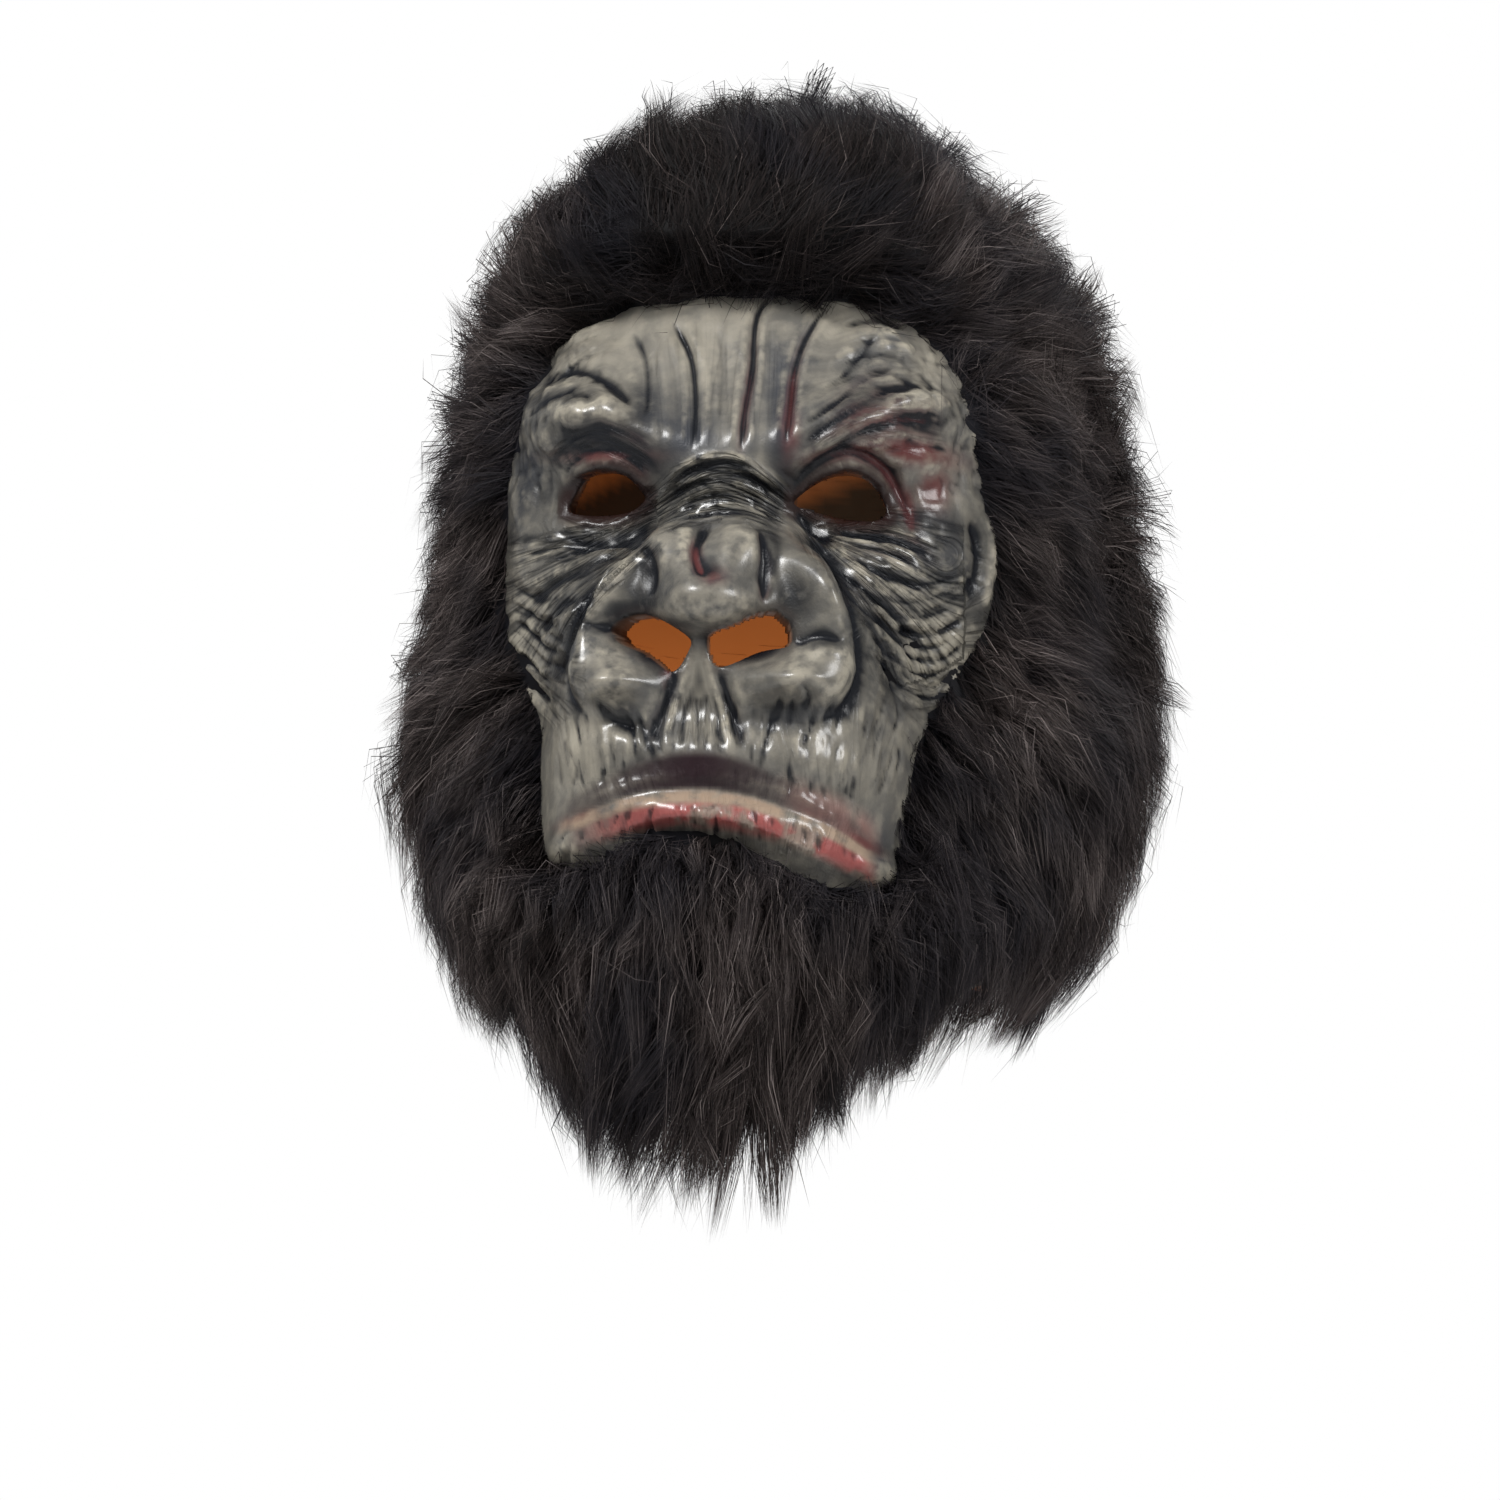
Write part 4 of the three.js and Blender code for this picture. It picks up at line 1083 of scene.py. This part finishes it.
# Patches in the paint: the noise's scale and detail, and its values where a patch begins and is full
spots = {
    "clouds": (22, 4, 0.48, 0.8),
    "mottle": (160, 6, 0.42, 0.7),
    "blotches": (120, 6, 0.18, 0.46),
    # Patches of the dry-brushed pale paint and painted highlight on raised relief
    "dryBrushAndHighlight": (260, 5, 0.35, 0.6),
    "reds": (100, 4, 0.2, 0.5),
    "blush": (90, 4, 0.2, 0.5),
    "lip": (80, 4, 0.39, 0.48),
    "beige": (140, 4, 0.3, 0.55),
    "polish": (90, 4, 0.3, 0.7),
    "furShade": (22, 3, 0.42, 0.62),
}


def addPatches(tree, name):
    return addGroup(tree, patches, dict(zip(("Scale", "Detail", "Low", "High"), spots[name])))


rubberColours = {
    "grey": (0.155, 0.145, 0.125),
    "pale": (0.42, 0.38, 0.3),
    "blue": (0.022, 0.028, 0.042),
    # Near-black of the dark wash and of the painted shade in hollows, creases and sockets
    "shadeWash": (0.006, 0.007, 0.01),
    "red": (0.125, 0.033, 0.031),
    "purple": (0.017, 0.006, 0.009),
    "beige": (0.33, 0.24, 0.17),
    "skin": (0.27, 0.18, 0.14),
    "lip": (0.31, 0.08, 0.072),
    "pink": (0.34, 0.17, 0.14),
    "raw": (0.25, 0.088, 0.028),
    # Dark of the painted shade inside behind the eye holes
    "behindHoleShade": (0.006, 0.0035, 0.003),
    # Dark of the lid paint and the painted shade round the holes
    "lid": (0.022, 0.01, 0.009),
}
rubberGloss = {"specular": 0.2, "onPaint": 0.58, "onWrinkles": 0.35, "coatRoughness": 0.24}


# The face's paint, in layers from the bottom up: where each one goes, and its colour. Among them are
# painted shade in the hollows, creases and sockets and round the holes, and painted highlight on raised
# relief
def rubberLayers(tree, ridges, wrinkled):
    def masked(name, spot):
        return multiply(tree, readValue(tree, name), addPatches(tree, spot))

    small = readValue(tree, "small")
    shadeWashed = readValue(tree, "shadeWashed")
    lower = readValue(tree, "lower")
    clean = readValue(tree, "clean")
    # Dry-brushed pale paint and painted highlight on raised relief and wrinkle tops, less where the
    # wash and painted shade lie
    dryBrushAndHighlight = multiply(tree, spreadValue(tree, small, 0.12, 0.7), addPatches(tree, "dryBrushAndHighlight"))
    dryBrushAndHighlight = multiply(tree, dryBrushAndHighlight, spreadValue(tree, shadeWashed, 0.9, 0.1, 0, 0.85))
    ridgeTops = multiply(tree, wrinkled, 0.95)
    ridgeTops = multiply(tree, spreadValue(tree, ridges, 0.78, 1.15), ridgeTops)
    # Painted shade in the bottoms of the wrinkles, in broad hollows and in small pits
    bottoms = multiply(tree, spreadValue(tree, ridges, 0.66, 0.28), multiply(tree, wrinkled, 0.85))
    hollow = spreadValue(tree, readValue(tree, "broad"), -0.3, -1.8, 0, 0.9)
    pits = spreadValue(tree, small, -0.08, -0.6, 0, 0.93)
    deepRed = spreadValue(tree, readValue(tree, "red"), 0.55, 0.9)
    return [
        (addPatches(tree, "clouds"), "blue"),
        (multiply(tree, addPatches(tree, "mottle"), 0.4), "pale"),
        # Pale paint and painted highlight on the forehead, cheeks and muzzle
        (masked("paled", "blotches"), "pale"),
        (masked("blued", "blotches"), "blue"),
        # Dark wash and painted shade in the sockets, under the brows and beside the nose
        (masked("shadeWashed", "blotches"), "shadeWash"),
        (masked("red", "reds"), "red"),
        # Pale paint and painted highlight on the wrinkles' tops
        (ridgeTops, "pale"),
        # Painted shade in the wrinkles' bottoms
        (bottoms, "shadeWash"),
        # Dry-brushed pale paint and painted highlight on raised relief
        (dryBrushAndHighlight, "pale"),
        # Dark lid paint and painted shade round the holes
        (readValue(tree, "rim"), "lid"),
        (masked("blush", "blush"), "pink"),
        (readValue(tree, "purple"), "purple"),
        (multiply(tree, lower, 0.7), "skin"),
        (masked("lower", "lip"), "lip"),
        (masked("beige", "beige"), "beige"),
        # Painted shade in hollows and pits, kept off the lips
        (multiply(tree, hollow, clean), "shadeWash"),
        (multiply(tree, pits, clean), "shadeWash"),
        (multiply(tree, deepRed, 0.7), "red"),
        (readValue(tree, "raw"), "raw"),
        # Painted shade on the bare rubber behind the eye holes
        (readValue(tree, "holeShade"), "behindHoleShade"),
    ]


def rubberPaint():
    material, tree, shader = newMaterial("painted rubber")
    wrinkled = readValue(tree, "wrinkled")
    flow = {"Across": readValue(tree, "across"), "Along": readValue(tree, "along")}
    ridges = addGroup(tree, wrinklesTree, flow)
    colour = rubberColours["grey"]
    for mask, name in rubberLayers(tree, ridges, wrinkled):
        colour = paintOver(tree, colour, mask, rubberColours[name])

    # The coat lies on light paint, thinner where the dark wash and painted shade darken it and not at
    # all on bare rubber
    fromBare = spreadValue(tree, readValue(tree, "raw"), 1, 0)
    lightness = addNode(tree, "RGBToBW", {"Color": colour})["Val"]
    painted = multiply(tree, fromBare, spreadValue(tree, lightness, -0.03, 0.1))
    gloss = addMath(tree, "MULTIPLY_ADD", wrinkled, rubberGloss["onWrinkles"], rubberGloss["onPaint"])
    matt = spreadValue(tree, readValue(tree, "clean"), 1, 0.2)
    uneven = spreadValue(tree, addPatches(tree, "polish"), 0, 1, 0.3, 0.5)

    # Fine grain on the painted face, and folds where it is wrinkled
    grain = {
        "Strength": spreadValue(tree, readValue(tree, "raw"), 1, 0, 0, 0.35),
        "Distance": 0.0006,
        "Height": addGroup(tree, crinkle, {"Crinkle Scale": 330, "Pore Scale": 1300}),
    }
    folds = {
        "Strength": wrinkled,
        "Distance": 0.0022,
        "Height": ridges,
        "Normal": addNode(tree, "Bump", grain)["Normal"],
    }
    sockets = {
        "Base Color": colour,
        "Roughness": addMath(tree, "MULTIPLY_ADD", matt, 0.25, uneven),
        "Specular IOR Level": rubberGloss["specular"],
        "Coat Weight": multiply(tree, painted, gloss),
        "Coat Roughness": rubberGloss["coatRoughness"],
        "Normal": addNode(tree, "Bump", folds)["Normal"],
    }
    setSockets(tree, shader, sockets)
    return material


# Along each strand the colour runs from the root's dark to the tip's pale: painted shade in the pile
# and painted sheen on the tips
furColours = {
    "root": (0.003, 0.0026, 0.0028),
    "body": (0.036, 0.027, 0.025),
    "tip": (0.21, 0.175, 0.165),
    "cool": (0.012, 0.012, 0.017),
}


def furPaint():
    material, tree, shader = newMaterial("faux fur")
    tone = readValue(tree, "tone")
    colour = paintOver(tree, furColours["root"], spreadValue(tree, tone, 0, 0.8), furColours["body"])
    colour = paintOver(tree, colour, spreadValue(tree, tone, 0.8, 1.9), furColours["tip"])
    shade = multiply(tree, addPatches(tree, "furShade"), 0.6)
    colour = paintOver(tree, colour, shade, furColours["cool"])
    setSockets(tree, shader, {"Base Color": colour, "Roughness": 0.6, "Specular IOR Level": 0.13})
    return material


standsFor(makeSkin(rubberPaint()), "rubber_head")
print("face sculpted")

# The fur: strands rooted in a dark undercoat, painted shade deep in the pile, that lies below the
# coat's outer reach
fur = {
    "pile": 33,
    "pileSpread": 7,
    "shortest": 14,
    "longest": 60,
    "depth": 11,
    "edgeRise": 24,
    "width": 0.24,
    "lift": 10,
    "crestRise": 4,
    "crestHalfWidth": 50,
    "beardHalfWidth": 66,
    "beardTop": 223,
    "clumpSize": 46,
    "clumpPull": 0.82,
    "clumpTilt": 0.3,
    "waveSize": 26,
    "waveTilt": 0.36,
    "strandTilt": 0.17,
    "strayShare": 0.05,
    "strayTilt": 0.5,
    "hem": (215, 262),
    "tuckDrop": (235, 300),
    "tuckLeft": 0.2,
    "tuckRight": 0.05,
    "lowest": 343,
    "seed": 11,
}

# Columns and rows of the coat's grid and how far it runs past the hem, and the part of it that the
# undercoat takes
coatGrid = {"columns": 289, "rows": 217, "past": 1.2, "underEvery": (3, 4), "underTo": 0.965}

# The panels of fur: how many strands, how pale their clumps are, and the share of light hairs, which
# stand in for glints on single hairs. The crest's darker clumps are painted shade
panels = table(
    "node strands darkest palest bright",
    ("beard_fur", 46000, 0.45, 1.1, 0.1),
    ("crest_fur", 58000, 0.12, 0.5, 0.04),
    ("left_side_fur", 60000, 0.5, 1.3, 0.1),
    ("right_side_fur", 60000, 0.5, 1.4, 0.1),
)


def furEdge(angle):
    c = np.cos(angle)
    side = head["crownToSide"] + coat["skirt"]
    beard = (coat["beardDrop"] - side) * np.maximum(c, 0) ** 5
    nape = (head["crownToNape"] - head["crownToSide"]) * np.minimum(c, 0) ** 2
    return side + beard + nape


def coatPoint(angle, share):
    whole = furEdge(angle) + coat["crownPile"]
    drop = np.maximum(share, 0) ** 1.4 * whole - coat["crownPile"]
    level = (drop + coat["crownPile"]) / (coat["beardDrop"] + coat["crownPile"])
    front = coat["front"] * levelReach(furLevels, "front", level)
    back = coat["back"] * levelReach(furLevels, "back", level)
    side = coat["halfWidth"] * levelReach(furLevels, "side", level)
    reach = boxReach(angle, np.where(np.cos(angle) > 0, front, back), side, 2.1)
    return pointAt(angle, reach, -drop)


# Undercoat at an angle and a share of the way from the crown to the edge, with how far the point
# lies outside the bare face, where the coat comes down to the rubber
def underCoat(angle, share):
    outer = coatPoint(angle, share)
    around = coatPoint(angle + 0.01, share) - coatPoint(angle - 0.01, share)
    fall = coatPoint(angle, share + 0.01) - coatPoint(angle, np.maximum(share - 0.01, 0.001))
    out = normalise(np.cross(fall, around))
    drop = -outer[..., 2]
    crest = 1 - smoothStep(np.abs(outer[..., 0]), fur["crestHalfWidth"] - 8, fur["crestHalfWidth"] + 4)
    crest = crest * (1 - smoothStep(drop, 60, 200))
    full = outer + out * (fur["crestRise"] * crest - fur["depth"])[..., None]
    low = np.clip(drop, 30, head["crownToBib"])
    bare, slope = rubberPoint(angle, low, head["wall"], mounds + mouldings)
    away = outlineDistance(np.stack([bare[..., 0], drop], axis=-1), bareFace)
    away = np.where(np.cos(angle) > 0, away, 200)
    onEdge = bare + slope * (3.5 * smoothStep(away, -3, 6) - 2)[..., None]
    near = 1 - smoothStep(away, 0, fur["edgeRise"])
    place = full + (onEdge - full) * near[..., None]
    least = np.hypot(bare[..., 0], bare[..., 1]) + 2.5
    short = np.maximum(least / np.maximum(np.hypot(place[..., 0], place[..., 1]), 1), 1)
    short = np.where((drop > 40) & (drop < head["crownToSide"]) & (away > 3), short, 1)
    return place * np.stack([short, short, np.ones_like(short)], axis=-1), away


def furGrid():
    angles = np.linspace(-math.pi, math.pi, coatGrid["columns"])
    shares = np.linspace(0, coatGrid["past"], coatGrid["rows"])
    a, s = np.meshgrid(angles, shares)
    place, away = underCoat(a, s)
    place[0] = place[0].mean(axis=0)
    toAngle = np.gradient(place, angles, axis=1)
    toShare = np.gradient(place, shares, axis=0)
    out = normalise(np.cross(toShare, toAngle))
    out[0] = (0, 0, 1)
    layers = {"angle": a, "share": s, "place": place, "away": away, "out": out}
    return {**layers, "toAngle": toAngle, "toShare": toShare}


# Value of a grid's layer at any angle and share
def readGrid(grid, key, angle, share):
    rows, columns = grid["angle"].shape
    u = (np.mod(angle + math.pi, 2 * math.pi) / (2 * math.pi)) * (columns - 1)
    v = np.clip(share / coatGrid["past"], 0, 1) * (rows - 1)
    i = np.minimum(v.astype(int), rows - 2)
    j = np.minimum(u.astype(int), columns - 2)
    fu = u - j
    fv = v - i
    layer = grid[key]
    if layer.ndim == 3:
        fu = fu[..., None]
        fv = fv[..., None]
    top = layer[i, j] * (1 - fu) + layer[i, j + 1] * fu
    low = layer[i + 1, j] * (1 - fu) + layer[i + 1, j + 1] * fu
    return top * (1 - fv) + low * fv


def panelOf(place):
    x, y, z = place[..., 0], place[..., 1], place[..., 2]
    beard = (np.abs(x) < fur["beardHalfWidth"]) & (y < -0.3 * head["front"]) & (z < -fur["beardTop"])
    side = np.where(x > 0, 2, 3)
    return np.where(beard, 0, np.where(np.abs(x) < fur["crestHalfWidth"], 1, side))


# Way the pile is combed: away from the face, back over the crown, and down
def combed(place, away, out, noise):
    centre = np.array([0, -92, -128])
    fromFace = normalise(place - centre)
    near = np.exp(-((np.maximum(away, 0) / 95) ** 2))
    down = 0.12 + 0.95 * smoothStep(-place[..., 2], 30, 170)
    way = 1.15 * near[..., None] * fromFace + [0, 0.2, 0] - down[..., None] * [0, 0, 1] + noise
    way = way - out * np.sum(way * out, axis=-1, keepdims=True)
    return normalise(way)


def waves(place, scale, seed):
    rng = np.random.default_rng(seed)
    total = np.zeros(place.shape)
    for _ in range(5):
        turn = rng.normal(size=3) / scale
        total += np.sin(place @ turn + rng.uniform(0, 6.28))[..., None] * rng.normal(size=3)
    return total / 3


# Angles and shares of a panel's roots, evenly spread but denser along the face
def plantRoots(grid, index, count, rng):
    cell = np.linalg.norm(np.cross(grid["toAngle"], grid["toShare"]), axis=-1)
    cell = cell * (grid["away"] > 0.5) * (grid["share"] < 0.955) * (panelOf(grid["place"]) == index)
    cell = cell * (1 + 1.6 * np.exp(-((grid["away"] / 12) ** 2)))
    cell[:, -1] = 0
    chance = cell.ravel() / cell.sum()
    picked = rng.choice(chance.size, count, p=chance)
    angleStep = 2 * math.pi / (coatGrid["columns"] - 1)
    shareStep = coatGrid["past"] / (coatGrid["rows"] - 1)
    a = grid["angle"].ravel()[picked] + rng.uniform(-0.5, 0.5, count) * angleStep
    s = grid["share"].ravel()[picked] + rng.uniform(-0.5, 0.5, count) * shareStep
    return a, np.maximum(s, 0.004)


# How far a strand goes in angle and share for each millimetre of its way over the coat
def gridWay(grid, a, s, way):
    toAngle = readGrid(grid, "toAngle", a, s)
    toShare = readGrid(grid, "toShare", a, s)
    aa = np.sum(toAngle * toAngle, axis=-1) + 1
    ss = np.sum(toShare * toShare, axis=-1) + 1
    mixed = np.sum(toAngle * toShare, axis=-1)
    wa = np.sum(way * toAngle, axis=-1)
    ws = np.sum(way * toShare, axis=-1)
    scale = aa * ss - mixed**2
    return (wa * ss - ws * mixed) / scale, (ws * aa - wa * mixed) / scale


def nearestOf(points, centres):
    tree = KDTree(len(centres))
    for i, c in enumerate(centres.tolist()):
        tree.insert(c, i)
    tree.balance()
    return np.array([tree.find(p)[1] for p in points.tolist()])


# Strands of one panel, three points each, with the way out of the coat at each root and its clump
def growPanel(grid, index, count, rng):
    a, s = plantRoots(grid, index, count, rng)
    root = readGrid(grid, "place", a, s)
    out = readGrid(grid, "out", a, s)
    away = readGrid(grid, "away", a, s)
    clumps = max(count // fur["clumpSize"], 1)
    leader = nearestOf(root, root[:clumps])
    tilt = rng.normal(size=(clumps, 3)) * fur["clumpTilt"]
    wild = 1 + 0.6 * (index == 0)
    noise = waves(root, fur["waveSize"], 5) * fur["waveTilt"] * wild + tilt[leader] * wild
    noise = noise + rng.normal(size=(count, 3)) * fur["strandTilt"]
    stray = rng.random(count) < fur["strayShare"]
    noise = noise + stray[:, None] * rng.normal(size=(count, 3)) * fur["strayTilt"]
    da, ds = gridWay(grid, a, s, combed(root, away, out, noise))

    length = fur["pile"] + rng.normal(size=count) * fur["pileSpread"]
    length = np.clip(length, fur["shortest"], fur["longest"]) * (0.62 + 0.38 * smoothStep(away, 0, 30))
    hem = smoothStep(-root[:, 2], *fur["hem"]) * smoothStep(np.abs(root[:, 0]), 40, 90)
    length = length * (1 - 0.5 * hem)
    lift = fur["lift"] * (0.75 + 0.35 * rng.normal(size=clumps)[leader] + 0.25 * rng.normal(size=count))
    lift = np.clip(lift + stray * 4, 2, 20)
    times = np.array([0, 0.5, 1])
    spine = []
    for t in times:
        at = readGrid(grid, "place", a + da * length * t, s + ds * length * t)
        up = readGrid(grid, "out", a + da * length * t, s + ds * length * t)
        spine.append(at + up * (lift * (1.3 * t - 0.3 * t * t))[:, None])
    spine = np.stack(spine, axis=1)
    pull = fur["clumpPull"] * (1 - 0.8 * stray) * rng.uniform(0.6, 1.1, count)
    spine += (spine[leader] - spine) * (pull[:, None] * times**1.2)[..., None]
    curl = rng.normal(size=(clumps, 3))[leader] * 2.5 * wild + rng.normal(size=(count, 3)) * 1.6
    spine += curl[:, None, :] * (np.sin(times * 3.1) + 0.4 * times)[None, :, None]
    tuck = np.where(spine[..., 0] > 0, fur["tuckLeft"], fur["tuckRight"])
    spine[..., 0] *= 1 - tuck * smoothStep(-spine[..., 2], *fur["tuckDrop"])
    spine[..., 2] = np.maximum(spine[..., 2], -fur["lowest"])
    return spine, out, leader


# Each strand is a narrow ribbon that ends in a point
def ribbons(spine, out, rng):
    count = len(spine)
    way = normalise(spine[:, 2] - spine[:, 0])
    side = normalise(np.cross(way, out))
    turn = rng.normal(size=count) * 0.6
    side = side * np.cos(turn)[:, None] + normalise(np.cross(way, side)) * np.sin(turn)[:, None]
    half = 0.5 * fur["width"] * rng.uniform(0.7, 1.3, count)[:, None] * side
    rows = []
    for k, share in enumerate([1, 0.85]):
        rows += [spine[:, k] - half * share, spine[:, k] + half * share]
    points = np.stack([*rows, spine[:, 2]], axis=1).reshape(-1, 3)
    base = (np.arange(count) * 5)[:, None]
    return points, base + [0, 1, 3, 2], base + [2, 3, 4]


# The undercoat's faces of one panel, with its lower edge turned in to the rubber's
def underFaces(grid, index):
    step = tuple(slice(None, None, every) for every in coatGrid["underEvery"])
    kept = np.count_nonzero(grid["share"][step][:, 0] < coatGrid["underTo"])
    angle = grid["angle"][step][0]
    rim, _ = rubberPoint(angle, rubberEdge(angle) - 1, head["wall"], mounds)
    place = np.concatenate([grid["place"][step][:kept], rim[None]])
    away = np.concatenate([grid["away"][step][:kept], [0 * angle]])
    quads = gridFaces(*away.shape)
    flat = place.reshape(-1, 3)
    keep = away.ravel()[quads].max(axis=1) > -7
    quads = quads[keep & (panelOf(flat[quads].mean(axis=1)) == index)]
    used, back = np.unique(quads, return_inverse=True)
    return flat[used], back.reshape(quads.shape)


def makePanel(grid, index, panel, material):
    rng = np.random.default_rng(fur["seed"] + index)
    count = panel["strands"]
    spine, out, leader = growPanel(grid, index, count, rng)
    points, quads, ends = ribbons(spine, out, rng)
    base, baseQuads = underFaces(grid, index)
    clumpTone = rng.uniform(panel["darkest"], panel["palest"], leader.max() + 1)[leader]
    # Light hairs as painted glints
    bright = rng.random(count) < panel["bright"]
    tone = np.clip(clumpTone + 0.22 * rng.normal(size=count) + 1.1 * bright, 0.05, 2.2)
    # Strands darker at the root and paler at the tip, as painted shade and painted sheen; the undercoat
    # keeps the root's near-black as painted shade
    along = np.array([0.3, 0.3, 0.8, 0.8, 1.15])
    values = {"tone": np.concatenate([(tone[:, None] * along).ravel(), np.zeros(len(base))])}
    groups = [quads, baseQuads + len(points), ends]
    return makeObject(panel["node"] + "_pile", np.concatenate([points, base]), groups, material, values)


furMaterial = furPaint()
grid = furGrid()
print("coat laid out")
for index, panel in enumerate(panels):
    standsFor(makePanel(grid, index, panel, furMaterial), panel["node"])


def addLight(name, size, energy, place, target, colour=(1, 1, 1)):
    data = bpy.data.lights.new(name, "AREA")
    data.size = size
    data.energy = energy
    data.color = colour
    item = bpy.data.objects.new(name, data)
    bpy.context.scene.collection.objects.link(item)
    item.location = place
    item.rotation_euler = (Vector(target) - Vector(place)).to_track_quat("-Z", "Y").to_euler()


addLight("key", 0.4, 20, (-0.6, -1.1, 0.7), (0, 0, -0.14))
addLight("fill", 0.5, 13, (1.2, -0.8, 0.35), (0, 0, -0.15))
addLight("rim", 0.8, 12, (0.3, 1.0, 0.9), (0, 0, -0.1))
addLight("glow", 0.04, 0.2, (0, 0.0, -0.19), (0, 0.1, -0.15), (1, 0.8, 0.5))


# White to the camera, and a softer sky for the light on the mask
def addWorld():
    world = bpy.data.worlds.new("studio")
    bpy.context.scene.world = world
    world.use_nodes = True
    tree = world.node_tree
    seen = tree.nodes["Background"]
    seen.inputs["Color"].default_value = (1, 1, 1, 1)
    lit = addNode(tree, "Background", {"Color": (0.93, 0.96, 1, 1), "Strength": 0.22})["Background"]
    path = addNode(tree, "LightPath", {})["Is Camera Ray"]
    mix = addNode(tree, "MixShader", {"Fac": path, 1: lit, 2: seen.outputs["Background"]})
    tree.links.new(mix["Shader"], tree.nodes["World Output"].inputs["Surface"])
    bpy.context.scene.view_settings.view_transform = "Standard"


# A pale floor, brightened for the camera alone so that it throws no light up at the mask
def addFloor():
    material, tree, shader = newMaterial("floor")
    seen = multiply(tree, addNode(tree, "LightPath", {})["Is Camera Ray"], 0.55)
    sockets = {"Base Color": (0.9, 0.9, 0.9, 1), "Roughness": 0.8, "Emission Color": (1, 1, 1, 1)}
    setSockets(tree, shader, {**sockets, "Emission Strength": seen})
    half = 3000
    level = -900
    corners = [(-half, -half, level), (half, -half, level), (half, half, level), (-half, half, level)]
    floor = makeObject("floor", corners, [[(0, 1, 2, 3)]], material)


addWorld()
addFloor()
print("studio set")
